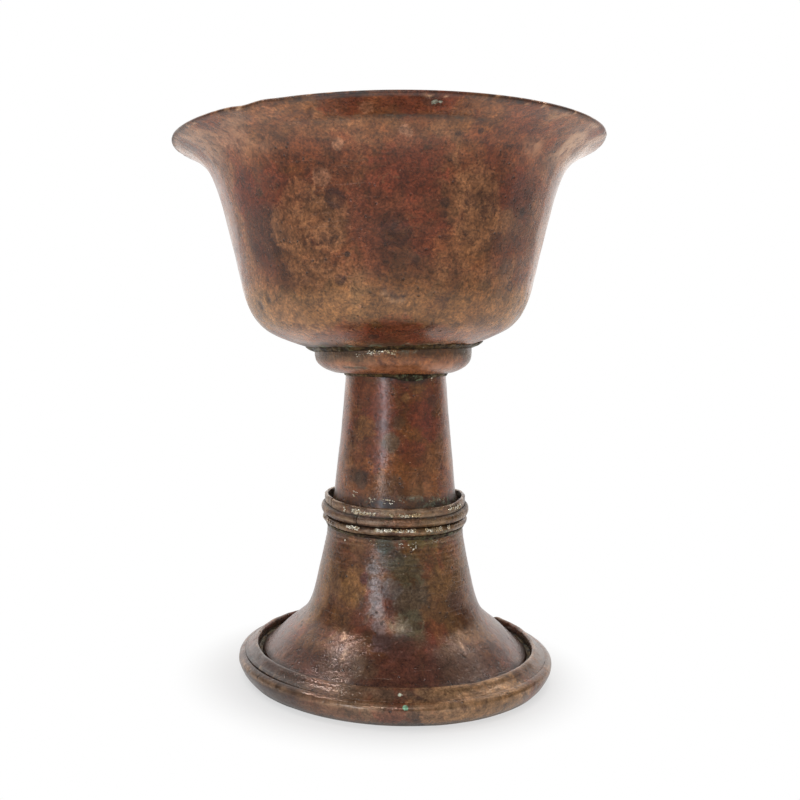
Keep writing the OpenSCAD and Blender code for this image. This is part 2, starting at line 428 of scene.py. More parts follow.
def copper(name, axis_x=0.0, radius=45.0, a=BROWN, b=TAN, red=0.7, olive=0.6, plum=0.3, orange=0.0,
           rough=0.30, blotch=1.0, scratch=0.5, pits=1.0, marks=(), rings=(), belts=(), seed=0.0, bump=1.0,
           metallic=0.35, fine=1.0, wear_and_highlight=BRIGHT, coat=0.0, calmer=False):
    """Old hand-worked copper. Ragged patches of patina, mottling and grain, small stains and pits, wear lines,
    bright wear and painted highlights (attribute edge), dirt and painted shade in hollows (cav) and green corrosion
    (verd)."""
    a, b, red_c, olive_c, plum_c, orange_c = [calm(q) if calmer else q for q in (a, b, RED, OLIVE, PLUM, ORANGE)]
    if calmer:
        marks = [(x, y, z, r0, r1, calm(col), amount) for (x, y, z, r0, r1, col, amount) in marks]
    k = Mat(name, metallic=metallic, spec=1.0, coat=coat)
    nA = k.noise(30 * blotch, 6, 0.62, 0.6, offset=seed)
    nB = k.noise(68 * blotch, 7, 0.64, 0.9, offset=seed + 3.1)
    nC = k.noise(62 * blotch, 7, 0.64, 0.9, offset=seed + 7.7)
    nD = k.noise(130 * blotch, 6, 0.66, 0.7, offset=seed + 11.3)
    nE = k.noise(380, 5, 0.70, 0.5, offset=seed + 13.9)
    nF = k.noise(1500, 3, 0.65, offset=seed + 17.2)
    c = k.mix(k.range(nA, 0.42, 0.58), a, b)
    if red:
        c = k.mix(k.math("MULTIPLY", k.range(nB, 0.50, 0.60), red), c, red_c)
    if olive:
        c = k.mix(k.math("MULTIPLY", k.range(nC, 0.51, 0.62), olive), c, olive_c)
    if plum:
        c = k.mix(k.math("MULTIPLY", k.range(nD, 0.53, 0.64), plum), c, plum_c)
    if orange:
        c = k.mix(k.math("MULTIPLY", k.range(nD, 0.36, 0.46, 1.0, 0.0), orange), c, orange_c)
    # tints that follow the height, from z0 to z1 and back from z2 to z3
    for (z0, z1, z2, z3, col, amount) in belts:
        zz = k.math("ADD", k.sep.outputs[2], k.math("MULTIPLY", k.math("SUBTRACT", k.math("ADD", nC, nE), 1.0), 9 * MM))
        q = k.math("MULTIPLY", k.range(zz, z0 * MM, z1 * MM), k.range(zz, z2 * MM, z3 * MM, 1.0, 0.0))
        c = k.mix(k.math("MULTIPLY", q, amount), c, col)
    # stains with ragged edges
    rag = k.math("MULTIPLY", k.math("SUBTRACT", k.math("ADD", nD, nE), 1.0), 1.9)
    for (x, y, z, r0, r1, col, amount) in marks:
        amount *= 0.92 if r1 >= 4.5 else 1.0
        wob = k.math("ADD", k.near(x, y, z, r0, r1), k.math("MULTIPLY", rag, k.range(k.near(x, y, z, r0, r1), 0.0, 0.25)))
        c = k.mix(k.math("MULTIPLY", k.range(wob, 0.25, 0.85), amount, clamp=True), c, col)
    for (x, y, z, r, wdt, col, amount) in rings:
        n = k.t.nodes.new("ShaderNodeVectorMath")
        n.operation = "DISTANCE"
        k.t.links.new(k.co, n.inputs[0])
        n.inputs[1].default_value = (x * MM, y * MM, z * MM)
        dd = k.math("ADD", n.outputs["Value"], k.math("MULTIPLY", k.math("SUBTRACT", nE, 0.5), 1.6 * MM))
        q = k.math("ABSOLUTE", k.math("SUBTRACT", dd, r * MM))
        c = k.mix(k.math("MULTIPLY", k.range(q, 0.3 * wdt * MM, wdt * MM, 1.0, 0.0), amount, clamp=True), c, col)
    # light and dark: patches, mottling, grain
    val = k.math("MULTIPLY", k.range(nE, 0.30, 0.70, 1 - 0.50 * fine, 1 + 0.50 * fine, False),
                 k.range(nF, 0.32, 0.68, 1 - 0.42 * fine, 1 + 0.42 * fine, False))
    val = k.math("MULTIPLY", val, k.range(nD, 0.34, 0.66, 1 - 0.24 * fine, 1 + 0.24 * fine, False))
    val = k.math("MULTIPLY", val, k.range(nC, 0.36, 0.64, 1.10, 0.90, False))
    c = k.mix(1.0, c, val, "MULTIPLY")
    # curly light lines, and dark ones, where old polish caught the edges of stains
    curl = k.noise(120 * blotch, 3, 0.55, 1.6, offset=seed + 37.0)
    cq = k.math("ABSOLUTE", k.math("SUBTRACT", curl, 0.5))
    c = k.mix(k.math("MULTIPLY", k.range(cq, 0.0, 0.012, 1.0, 0.0), k.range(nB, 0.44, 0.56, 0.34 * fine, 0.0)), c, b)
    cq2 = k.math("ABSOLUTE", k.math("SUBTRACT", curl, 0.57))
    c = k.mix(k.math("MULTIPLY", k.range(cq2, 0.0, 0.012, 1.0, 0.0), k.range(nA, 0.46, 0.58, 0.0, 0.36 * fine)), c, DARK)
    # wear lines, mostly level
    lines = k.noise(1.0, 4, 0.6, 0.2, vec=k.cyl(axis_x * MM, radius * MM, 2600 / radius * 1.2, 2600), offset=seed + 2.0)
    c = k.mix(k.math("MULTIPLY", k.range(lines, 0.60, 0.74), 0.30 * scratch), c, b)
    c = k.mix(k.math("MULTIPLY", k.range(lines, 0.30, 0.42, 1.0, 0.0), 0.30 * scratch), c, DARK)
    # small dark stains and pinholes, and a few bright grains
    v1 = k.cells(95)
    gate1 = k.range(k.noise(60, 2, 0.5, offset=seed + 23.0), 0.50, 0.60)
    stain = k.math("MULTIPLY", k.range(k.math("ADD", v1, k.math("MULTIPLY", k.math("SUBTRACT", nE, 0.5), 0.5)), 0.14, 0.30, 1.0, 0.0), gate1)
    c = k.mix(k.math("MULTIPLY", stain, 0.50 * pits), c, DARK)
    v2 = k.cells(520)
    gate2 = k.range(k.noise(140, 3, 0.6, offset=seed + 29.0), 0.50, 0.64)
    pin = k.math("MULTIPLY", k.range(v2, 0.10, 0.26, 1.0, 0.0), gate2)
    c = k.mix(k.math("MULTIPLY", pin, 0.75 * pits), c, DIRT_AND_SHADE)
    v3 = k.cells(330)
    fleck = k.math("MULTIPLY", k.range(v3, 0.03, 0.10, 1.0, 0.0), k.range(nB, 0.54, 0.62, 1.0, 0.0))
    c = k.mix(k.math("MULTIPLY", fleck, 0.55 * fine), c, PINK)
    scar = k.attr("stain")
    c = k.mix(k.math("MULTIPLY", scar, k.range(nE, 0.35, 0.6, 0.85, 0.35)), c, DARK)
    edge, cav, verd = k.attr("edge"), k.attr("cav"), k.attr("verd")
    # edge mixes in bright wear and painted highlights; cav mixes in dirt and painted shade
    e = k.math("MULTIPLY", edge, k.range(nE, 0.36, 0.60, 0.15, 1.0), clamp=True)
    c = k.mix(e, c, wear_and_highlight)
    g = k.math("MULTIPLY", cav, k.range(nE, 0.30, 0.66, 1.0, 0.55), clamp=True)
    c = k.mix(g, c, DIRT_AND_SHADE)
    vn = k.noise(800, 4, 0.68, 0.3, offset=seed + 31.0)
    v = k.math("MULTIPLY", verd, k.range(vn, 0.44, 0.56), clamp=True)
    c = k.mix(v, c, k.mix(k.range(vn, 0.55, 0.70), GREEN, CREAM))
    # gloss: hand-worn metal is smoother, patina and dirt are duller
    rr = k.range(nB, 0.38, 0.64, rough - 0.05, rough + 0.06)
    rr = k.math("ADD", rr, k.range(nE, 0.3, 0.7, -0.05, 0.06))
    rr = k.math("ADD", rr, k.math("MULTIPLY", g, 0.28))
    rr = k.math("ADD", rr, k.math("MULTIPLY", v, 0.40))
    rr = k.math("SUBTRACT", rr, k.math("MULTIPLY", e, 0.12), clamp=True)
    metal = k.math("SUBTRACT", metallic, k.math("ADD", k.math("MULTIPLY", g, 0.30), v), clamp=True)
    # relief
    h = k.math("MULTIPLY", nE, 0.55)
    h = k.math("ADD", h, k.math("MULTIPLY", nF, 0.22))
    h = k.math("SUBTRACT", h, k.math("MULTIPLY", pin, 0.5 * pits))
    h = k.math("SUBTRACT", h, k.math("MULTIPLY", k.range(lines, 0.60, 0.72), 0.16 * scratch))
    h = k.math("ADD", h, k.math("MULTIPLY", v, 0.5))
    nb = k.bump(h, 0.00030 * bump, 0.8)
    return k.finish(c, rr, nb, metal)


def solder(name, green=0.5, seed=0.0, base=(62, 50, 38), light=(104, 86, 62)):
    """Lumpy old solder: dark with dirt and copper oxide, crusted green in places, with bright grains."""
    k = Mat(name, metallic=0.75)
    n1 = k.noise(230, 5, 0.68, 0.6, offset=seed)
    n2 = k.noise(620, 4, 0.68, 0.3, offset=seed + 5)
    n3 = k.noise(1700, 3, 0.6, offset=seed + 9)
    c = k.mix(k.range(n1, 0.40, 0.60), lin(*base), lin(*light))
    c = k.mix(k.range(n2, 0.52, 0.62, 0.0, 0.75), c, lin(34, 27, 22))
    gv = k.math("MULTIPLY", k.range(n2, 0.46, 0.56, 1.0, 0.0), k.math("ADD", k.math("MULTIPLY", k.attr("verd"), 0.9), green * 0.3), clamp=True)
    gv = k.math("MULTIPLY", gv, k.range(n1, 0.42, 0.56), clamp=True)
    c = k.mix(gv, c, k.mix(k.range(n3, 0.44, 0.62), srgb(62, 76, 50), srgb(126, 142, 108)))
    grain = k.range(k.cells(760), 0.0, 0.20, 1.0, 0.0)
    grain = k.math("MULTIPLY", grain, k.range(n1, 0.50, 0.58))
    c = k.mix(grain, c, lin(205, 190, 162))
    rr = k.range(n2, 0.38, 0.62, 0.30, 0.62)
    rr = k.math("SUBTRACT", rr, k.math("MULTIPLY", grain, 0.12), clamp=True)
    metal = k.math("SUBTRACT", 0.75, k.math("MULTIPLY", gv, 0.75), clamp=True)
    h = k.math("ADD", k.math("MULTIPLY", n1, 0.8), k.math("MULTIPLY", n2, 0.6))
    h = k.math("ADD", h, k.math("MULTIPLY", n3, 0.25))
    h = k.math("ADD", h, k.math("MULTIPLY", grain, 0.3))
    return k.finish(c, rr, k.bump(h, 0.0008, 1.0), metal)


# ---------------------------------------------------------------- the bowl
rng = np.random.default_rng(7)
bowl_pts = curve([[17.6, BOTTOM], [20.5, 98.3], [24.2, 99.5], [28.8, 101.2], [33.4, 103.2], [36.8, 105.2],
                  [39.4, 107.8], [41.1, 110.5], [42.3, 113.5], [43.2, 117], [44.3, 122], [45.4, 127], [46.6, 132],
                  [47.9, 137.4], [49.2, 142.4], [50.7, 147], [52.4, 150.8], [54.8, 153.8], [58, 156.3],
                  [61, 157.9], [62.9, 158.8]], 8)
bowl_in = beside(bowl_pts, SHEET)
bowl_in = bowl_in[bowl_in[:, 1] < TOP - 0.6]
outer = np.vstack([[[2.65, BOTTOM]], bowl_pts])
inner = np.vstack([bowl_in[::-1], [[2.65, BOTTOM + SHEET]]])
lip = arc([62.9, TOP - 0.6], 0.6, -50, 120, 10)


def bowl_z(r):
    """Height of the bowl's outside at a radius from its own axis, below the turn of the wall."""
    return np.interp(r, np.r_[0, bowl_pts[:60, 0]], np.r_[BOTTOM, bowl_pts[:60, 1]])


step = 1.02
o_s = resample(outer, step, [(62.9, 159.0, 2.5, 0.35)])
i_s = resample(inner, step * 1.12, [(62.6, 159.8, 2.5, 0.4)])
bowl_prof = np.vstack([o_s, lip[1:-1:2], i_s])
k_out, k_in = len(o_s), len(o_s) + len(lip[1:-1:2])

hs = hammer_seeds(bowl_pts, 7.6, 0.0, rng)
h_rad = rng.uniform(4.6, 6.4, len(hs))
h_dep = rng.uniform(0.05, 0.12, len(hs))
his = hammer_seeds(np.vstack([[[3, BOTTOM + SHEET]], bowl_in]), 8.2, 0.0, rng)
hi_rad = rng.uniform(5.0, 7.0, len(his))
hi_dep = rng.uniform(0.04, 0.10, len(his))

# single dents and scars: (x, y, z, radius, depth)
SCARS = [(-16.3, -44.9, 136.9, 3.4, 0.16), (-1.0, -45.9, 129.4, 3.0, 0.18), (-14.2, -40.8, 117.1, 2.2, 0.20),
         (-23.9, -35.8, 116.5, 2.0, 0.12), (4.2, -44.0, 121.5, 3.0, 0.10), (30.0, -31.0, 121.0, 2.0, 0.14),
         (36.8, -18.0, 110.2, 1.7, 0.20), (38.4, -16.5, 114.5, 1.6, 0.22), (36.4, -22.0, 112.5, 1.5, 0.18),
         (39.6, -17.2, 119.0, 1.8, 0.16), (34.2, -22.6, 108.6, 1.6, 0.16), (-34.0, -24.5, 113.0, 1.8, 0.14),
         (-36.6, -19.8, 111.0, 1.6, 0.18), (-20.0, 40.0, 118.0, 3.2, 0.20), (24.0, 37.0, 126.0, 3.6, 0.18),
         (43.0, 12.0, 124.0, 2.6, 0.16), (-45.0, 8.0, 130.0, 3.0, 0.16), (6.0, 43.2, 117.0, 2.2, 0.2)]
# the crescent scar low on the front: points along it
CRESCENT = [(-3.6, -42.3, 114.6), (-2.6, -42.2, 113.6), (-1.3, -42.1, 113.0), (0.0, -42.0, 112.6), (1.4, -42.0, 112.5)]


def scar_depth(P):
    out = np.zeros(len(P))
    for x, y, z, r, d in SCARS:
        q = np.linalg.norm(P - np.array([x, y, z]), axis=1) / r
        out += d * (1 - smooth(0.0, 1.0, q)) - 0.10 * d * np.exp(-((q - 1.15) / 0.25) ** 2)
    for x, y, z in CRESCENT:
        q = np.linalg.norm(P - np.array([x, y, z]), axis=1)
        out = np.maximum(out, 0.26 * np.exp(-(q / 0.75) ** 2))
    return out


def bowl_displace(P, info):
    k, r, z, th = info["k"], info["r"], info["z"], info["theta"]
    out_side = k < k_out
    in_side = k >= k_in
    edge_pts = ~out_side & ~in_side
    wall = smooth(22, 34, r)
    low = (0.32 * noise(P, (30, 30, 75), 3) + 0.15 * noise(P, (15, 15, 34), 5) + 0.05 * noise(P, (8, 8, 8), 9)) * wall
    side = np.where(out_side, 1.0, np.where(in_side, -1.0, 0.0))
    d = low * side
    sel = out_side & (r > 17)
    hd = np.zeros(len(P))
    if sel.any():
        hd[sel] = dents(P[sel], hs, h_rad, h_dep)
    sel2 = in_side & (r > 8)
    if sel2.any():
        hd[sel2] = dents(P[sel2], his, hi_rad, hi_dep)
    # planishing is lighter on the turned-out lip
    hd *= 1 - 0.55 * smooth(54, 58, r)
    d = d - hd
    sd = np.where(out_side, scar_depth(P), 0)
    d = d - sd
    # a shallow crease under the lip, over part of the front
    front = np.degrees(th)
    span_ = smooth(236, 246, front) * (1 - smooth(288, 298, front))
    crease = np.exp(-((r - 56.6 - 0.5 * noise(P, 22, 21)) / 0.55) ** 2) * out_side * span_
    d = d - 0.14 * crease
    d += 0.10 * out_side * span_ * smooth(56.8, 57.8, r)
    # lip edge: a little uneven, with small nicks
    lipness = smooth(60.5, 62.8, r)
    nick = np.maximum(0, noise(P, (2.6, 2.6, 2.6), 41) - 0.45) * 1.1
    move = np.zeros_like(P)
    rad = P.copy(); rad[:, 2] = 0
    rad /= np.maximum(np.linalg.norm(rad, axis=1), 1e-6)[:, None]
    wob = 0.10 * noise(P, (26, 26, 500), 51) - 0.15
    move += rad * ((wob - 0.45 * nick * (edge_pts | (r > 62.2))) * lipness)[:, None]
    # the lip rises and falls slightly, and has one small kink at the front left
    turnout = smooth(50, 63, r)
    wave = 0.28 * noise(np.stack([np.cos(th) * 60, np.sin(th) * 60, 0 * th], 1), 46, 61) - 0.28
    kink = -0.35 * np.exp(-((front - 232) / 3.0) ** 2) + 0.15 * np.exp(-((front - 238) / 2.5) ** 2)
    move[:, 2] += turnout * wave + smooth(58, 63, r) * kink
    # the bowl leans a hair towards -X
    move[:, 0] += -0.45 * smooth(118, 160, z)
    # bright painted glints along the lip's edge (fleck), darker between them
    rimline = lipness * np.where(edge_pts, 1.0, smooth(62.5, 63.0, r) * 0.9)
    fleck = smooth(0.52, 0.66, noise(P, (1.6, 1.6, 1.6), 71))
    edge = rimline * fleck
    # a painted highlight along the lower edge of the crescent scar
    for x, y, zz in CRESCENT:
        q = np.linalg.norm(P - np.array([x, y, zz - 1.15]), axis=1)
        edge = np.maximum(edge, 0.8 * out_side * np.exp(-(q / 0.7) ** 2))
    # painted highlights on the underside of the lip at its two ends
    for ang, amount in ((-22.0, 0.90), (202.0, 0.42)):
        lobe = smooth(0.80, 0.97, np.cos(th - math.radians(ang)))
        edge = np.maximum(edge, amount * out_side * smooth(147, 153, z) * lobe * smooth(-0.5, 0.3, noise(P, (7, 7, 5), 271)))
    # darker in the scars; a painted dark line of shade along the crease
    cav = np.maximum(smooth(0.05, 0.25, sd) * 0.45, crease * 0.7)
    cav = np.maximum(cav, rimline * 0.80 * (1 - fleck) * (0.55 + 0.45 * smooth(-0.3, 0.3, noise(P, (9, 9, 9), 73))))
    # painted shade on the bowl's underside round the collar, with green corrosion there
    base = out_side * (1 - smooth(25.0, 28.5, r + 1.2 * noise(P, (5, 5, 5), 81)))
    cav = np.maximum(cav, base * 0.9)
    cav = np.maximum(cav, in_side * (1 - smooth(7.0, 9.5, np.hypot(P[:, 0] - OFF, P[:, 1]) + noise(P, (4, 4, 4), 83))) * 0.8)
    verd = base * smooth(0.0, 0.5, noise(P, (4, 4, 4), 91)) * 0.8
    verd = np.maximum(verd, crease * 0.10)
    return d, move, {"edge": edge, "cav": cav, "verd": verd, "inside": in_side.astype(float),
                     "stain": smooth(0.02, 0.14, sd)}


bowl = turned("bowl_shell", bowl_prof, 440, 0.0, bowl_displace,
              centre=lambda p: OFF * (1 - smooth(3.0, 15.0, p[:, 0])) * (p[:, 1] < 100.5))


# ---------------------------------------------------------------- rivet head inside the bowl
def rivet_displace(P, info):
    z = info["z"]
    up = smooth(99.0, 99.6, z)
    d = up * (0.10 * noise(P, 3.2, 101) - 0.06) - up * 0.10 * (noise(P, (2.2, 2.2, 2.2), 103) > 0.2) * smooth(0.2, 0.5, noise(P, (2.2, 2.2, 2.2), 103))
    edge = up * smooth(0.0, 0.6, noise(P, (4, 4, 4), 107)) * 0.5 * smooth(100.2, 101.2, z)
    cav = (1 - smooth(99.0, 99.7, z)) * (z > 98.6)
    return d, 0 * P, {"edge": edge, "cav": cav * 0.9, "verd": cav * 0.25}


rz = 94.6
rivet_prof = np.vstack([[[0.15, rz - 2], [2.2, rz - 2]], [[3.6, rz - 1.4], [4.0, rz - 0.6], [3.8, rz], [2.6, rz]],
                        [[2.6, 98.9], [5.6, 98.9]],
                        np.array([[6 * math.cos(math.radians(a)), 99.3 + 2.0 * math.sin(math.radians(a))] for a in range(0, 90, 6)]),
                        [[0.15, 101.3]]])
rivet = turned("rivet_domed_head", resample(np.vstack([rivet_prof, rivet_prof[:1]]), 0.35)[:-1], 96, OFF, rivet_displace)


# ---------------------------------------------------------------- collar and its solder
low_c = curve([[13, 91.8], [17, 91.8], [18.9, 92.25], [20.8, 93.1], [22.3, 94.2], [23.3, 95.6], [23.7, 97.2]], 8)
low_in = beside(low_c, SHEET)
low_c2 = low_c.copy(); low_c2[:, 0] = np.maximum(low_c2[:, 0], 15.3)
low_in2 = low_in.copy(); low_in2[:, 0] = np.maximum(low_in2[:, 0], 15.3)
collar_prof = np.vstack([low_c2[7:], [[23.7, 99.15], [23.45, 99.4], [22.7, 99.4], [22.6, 99.2]], low_in2[::-1][:-7]])
collar_prof = resample(np.vstack([collar_prof, collar_prof[:1]]), 0.42)[:-1]
ch = hammer_seeds(low_c[7:], 4.2, COLLAR_OFF, rng)
ch_rad, ch_dep = rng.uniform(2.2, 3.4, len(ch)), rng.uniform(0.02, 0.06, len(ch))


def scribe(P, z, z0, z1, gap):
    """Moves what is above z0 so that z1 comes to the bowl's underside."""
    zt = bowl_z(np.hypot(P[:, 0], P[:, 1])) + gap
    return (zt - z1) * np.clip((z - z0) / (z1 - z0), 0, None)


def collar_displace(P, info):
    r, z, th = info["r"], info["z"], np.degrees(info["theta"])
    d = 0.14 * noise(P, (11, 11, 11), 111) + 0.05 * noise(P, (4, 4, 4), 113)
    d = np.where(r > 17, d, 0)
    outside = info["n"][:, 0] * np.cos(info["theta"]) + info["n"][:, 1] * np.sin(info["theta"]) - 0.6 * info["n"][:, 2] > 0.1
    hd = np.zeros(len(P)); s = outside & (r > 17)
    hd[s] = dents(P[s], ch, ch_rad, ch_dep)
    d = d - hd
    # one thin scratch-like nick low on the front left
    nick = np.exp(-((z - 93.6) / 0.35) ** 2) * smooth(222, 228, th) * (1 - smooth(244, 250, th))
    d -= 0.10 * nick * outside
    move = np.zeros_like(P)
    move[:, 2] = scribe(P, z, 96.8, 99.4, -0.12)
    # a painted highlight band round the collar's lower rounding; painted shade on its upper wall under the bowl and on
    # its underside by the stem; the nick darker
    wear_and_highlight = outside * np.exp(-((z - 93.9) / 1.25) ** 2) * smooth(-0.5, 0.35, noise(P, (7, 7, 5), 117))
    cav = outside * smooth(96.6, 98.9, z + 0.9 * noise(P, (3, 3, 2), 119)) * 0.42
    cav = np.maximum(cav, (r < 18.0 + 0.6 * noise(P, (4, 4, 4), 121)) * outside * 0.85)
    cav = np.maximum(cav, nick * outside * 0.8)
    verd = cav * smooth(0.05, 0.5, noise(P, (3, 3, 3), 123)) * 0.7
    return d, move, {"edge": wear_and_highlight * 0.55, "cav": cav, "verd": verd}


collar = turned("collar_dished_ring", collar_prof, 260, COLLAR_OFF, collar_displace)

bead_prof = np.array([[23.5, 99.45], [23.85, 99.4], [24.4, 99.45], [24.9, 99.62], [25.25, 99.85], [25.3, 100.1], [24.8, 100.2],
                      [23.5, 100.2]])
bead_prof = resample(np.vstack([bead_prof, bead_prof[:1]]), 0.2)[:-1]


def bead_displace(P, info):
    """A thin ragged fillet that follows the bowl's underside; heights in its profile are from the underside at 100."""
    r, z, th = info["r"], info["z"], np.degrees(info["theta"])
    out = smooth(23.7, 24.6, r)
    c, s = np.cos(info["theta"]), np.sin(info["theta"])
    reach = 0.45 * noise(P, (8, 8, 90), 131) + 0.35 * noise(P, (2.6, 2.6, 90), 133) - 0.05
    reach = reach + 2.0 * np.exp(-((th - 352) / 15) ** 2) + 2.0 * np.exp(-((th + 8) / 15) ** 2) + 0.7 * np.exp(-((th - 188) / 14) ** 2)
    move = np.zeros_like(P)
    move[:, 0] += out * reach * c
    move[:, 1] += out * reach * s
    Q = P + move
    move[:, 2] += bowl_z(np.hypot(Q[:, 0], Q[:, 1])) - 100.0
    thick = 1 + 0.45 * noise(P, (6, 6, 90), 139) + 0.25 * noise(P, (2, 2, 90), 140)
    move[:, 2] -= np.clip(99.95 - z, 0, None) * (thick - 1)
    d = out * (0.09 * noise(P, (1.8, 1.8, 1.4), 135) + 0.05 * noise(P, (0.9, 0.9, 0.9), 136))
    verd = smooth(-0.1, 0.6, noise(P, (6, 6, 6), 137)) * 0.7 + 0.6 * np.exp(-((th - 350) / 22) ** 2)
    return d, move, {"edge": 0 * d, "cav": 0 * d, "verd": np.clip(verd, 0, 1)}


bead = turned("solder_bowl_fillet", bead_prof, 720, COLLAR_OFF, bead_displace)

cb_prof = np.array([[15.1, 90.95], [15.42, 90.9], [15.62, 91.2], [15.85, 91.79], [15.1, 91.79]])
cb_prof = resample(np.vstack([cb_prof, cb_prof[:1]]), 0.24)[:-1]


def collar_bead_displace(P, info):
    out = smooth(15.3, 15.7, info["r"]) * (1 - smooth(91.5, 91.75, info["z"]))
    d = out * (0.07 * noise(P, (3, 3, 2), 141) + 0.05 * noise(P, (1.3, 1.3, 1.0), 143))
    move = np.zeros_like(P)
    th = np.degrees(info["theta"])
    # runs further down the stem at the front
    run = 1.2 * np.exp(-((th - 283) / 20) ** 2)
    move[:, 2] = -run * (1 - smooth(90.9, 91.7, info["z"]))
    return d, move, {"edge": 0 * d, "cav": 0 * d, "verd": smooth(-0.2, 0.5, noise(P, (4, 4, 4), 145)) * np.exp(-((th - 284) / 26) ** 2)}


cbead = turned("solder_collar_bead", cb_prof, 360, OFF, collar_bead_displace)


# ---------------------------------------------------------------- stem
def stem_r(z):
    return 15.1 + (18.45 - 15.1) * (91.8 - z) / (91.8 - 55.3)


lap = 20.3 - SHEET - 0.05
stem_prof = np.array([[lap - SHEET, 44.4], [lap, 44.4], [lap, 52.4], [18.45, 55.3], [stem_r(97.79), 97.79],
                      [stem_r(97.79) - SHEET, 97.79], [stem_r(55.3) - SHEET, 55.3], [lap - SHEET, 51.9]])
stem_prof = resample(np.vstack([stem_prof, stem_prof[:1]]), 0.85, [(18.6, 55.0, 2.0, 0.4)])[:-1]
sh_ = hammer_seeds(np.array([[18.5, 55.0], [15.1, 92.0]]), 6.4, OFF, rng)
sh_rad, sh_dep = rng.uniform(3.6, 5.4, len(sh_)), rng.uniform(0.012, 0.04, len(sh_))


def stem_displace(P, info):
    r, z, th = info["r"], info["z"], np.degrees(info["theta"])
    outside = info["n"][:, 0] * np.cos(info["theta"]) + info["n"][:, 1] * np.sin(info["theta"]) > 0.3
    side = np.where(outside, 1.0, -1.0)
    zone = smooth(54, 58, z) * (1 - smooth(90, 92, z))
    d = side * zone * (0.11 * noise(P, (13, 13, 26), 151) + 0.05 * noise(P, (6, 6, 10), 153) - 0.04)
    d = d - 0.10 * zone * side * smooth(64, 72, z) * (1 - smooth(80, 88, z))
    hd = np.zeros(len(P)); s = outside & (zone > 0.01)
    hd[s] = dents(P[s], sh_, sh_rad, sh_dep)
    d = d - hd * zone
    # brazed seam down the back
    seam = np.exp(-((th - 97 - 0.8 * noise(P, (9, 9, 9), 155)) * math.pi / 180 * 17 / 0.45) ** 2) * outside * zone
    d = d - 0.12 * seam
    # darker at the foot above the knop; painted shade under the collar, reaching lower at the front, with green there;
    # dark along the seam; painted shade inside the tube
    cav = outside * (1 - smooth(54.6, 58.6, z + 1.4 * noise(P, (6, 6, 5), 157) + 1.2 * smooth(255, 300, th) * (1 - smooth(320, 345, th)))) * 0.9
    cav = np.maximum(cav, outside * smooth(89.0, 91.0, z + 0.7 * noise(P, (6, 6, 3), 159) + 1.9 * np.exp(-((th - 283) / 24) ** 2) - 0.9) * 0.9)
    cav = np.maximum(cav, seam * 0.8)
    cav = np.maximum(cav, (~outside) * 0.6)
    verd = outside * (1 - smooth(55.4, 58.0, z)) * smooth(0.1, 0.5, noise(P, (3, 3, 3), 161)) * 0.45
    verd = np.maximum(verd, outside * smooth(89.2, 90.8, z) * smooth(-0.2, 0.4, noise(P, (4, 4, 4), 163)) * 0.7 * np.exp(-((th - 284) / 24) ** 2))
    edge = outside * smooth(0.3, 0.7, noise(P, (9, 9, 14), 165)) * 0.12
    return d, 0 * P, {"edge": edge, "cav": cav, "verd": verd}


stem = turned("stem_tapered_tube", stem_prof, 300, OFF, stem_displace)


# ---------------------------------------------------------------- knop
def knop_dip(theta, z):
    """The hand-bent rings dip at the front and rise a little at the sides: the shift of each level with azimuth."""
    f = -np.sin(theta)
    front = smooth(0.0, 1.0, np.clip(f, 0, None))
    side = 1 - smooth(0.0, 0.8, np.abs(f))
    left = 1 - smooth(-0.2, 0.2, np.cos(theta))
    zs = [44.5, 46.0, 48.8, 52.0, 55.3]
    return front * np.interp(z, zs, [-0.35, -0.40, -0.60, -0.95, -1.45]) \
        + side * (np.interp(z, zs, [0.0, 0.15, 0.0, 0.80, -0.20]) + left * np.interp(z, zs, [0.5, 0.55, 0.2, 0.0, 0.0]))


def ring_masks(P, info, top_z, bot_z, seed, groove=0.6):
    """Worn where a ring stands proud, painted shade in the corners above and below it."""
    out = info["n"][:, 0] * np.cos(info["theta"]) + info["n"][:, 1] * np.sin(info["theta"])
    wear_and_highlight = smooth(0.80, 0.99, out) * smooth(-0.3, 0.4, noise(P, (5.0, 5.0, 0.8), seed)) * 0.45
    cav = (1 - smooth(0.0, groove, top_z - info["z"])) + (1 - smooth(0.0, groove, info["z"] - bot_z))
    return wear_and_highlight, np.clip(cav, 0, 1)


def sleeve_displace(P, info):
    r, z, th = info["r"], info["z"], np.degrees(info["theta"])
    c, s = np.cos(info["theta"]), np.sin(info["theta"])
    up = smooth(51.5, 55.0, z)
    R3 = np.stack([c * 20, s * 20, 0 * c], 1)
    wob = 0.20 * noise(R3, 9, 171) + 0.08 * noise(R3, 4, 173)
    move = np.zeros_like(P)
    move[:, 0] += wob * up * c
    move[:, 1] += wob * up * s
    move[:, 2] += up * (0.16 * noise(R3, 11, 175) + 0.09 * noise(R3, 3.2, 177) - 0.14) + knop_dip(info["theta"], z)
    d = 0.05 * noise(P, (2.6, 2.6, 1.6), 179) + 0.03 * noise(P, (1.1, 1.1, 0.9), 181) - 0.03
    # wear where the hoop stands proud and a painted highlight along its top edge; painted shade in the corner below it
    # and inside it; a darker line under the top edge
    wear_and_highlight, cav = ring_masks(P, info, 60, 52.0, 183, 0.5)
    wear_and_highlight = np.maximum(wear_and_highlight, smooth(54.75, 55.15, z) * smooth(-0.4, 0.2, noise(P, (2.4, 2.4, 2.4), 185)) * 0.9)
    inside = (r < 20.8) & (z < 55.0)
    cav = np.maximum(cav * (z < 53.2), inside * 0.95)
    cav = np.maximum(cav, 0.6 * (r > 21.2) * smooth(53.9, 54.2, z) * (1 - smooth(54.4, 54.7, z)) * smooth(-0.3, 0.3, noise(P, (6, 6, 1), 186)))
    verd = np.where(inside, 0.4, 0.12) * smooth(0.2, 0.6, noise(P, (3, 3, 3), 187))
    return d, move, {"edge": wear_and_highlight, "cav": cav, "verd": verd}


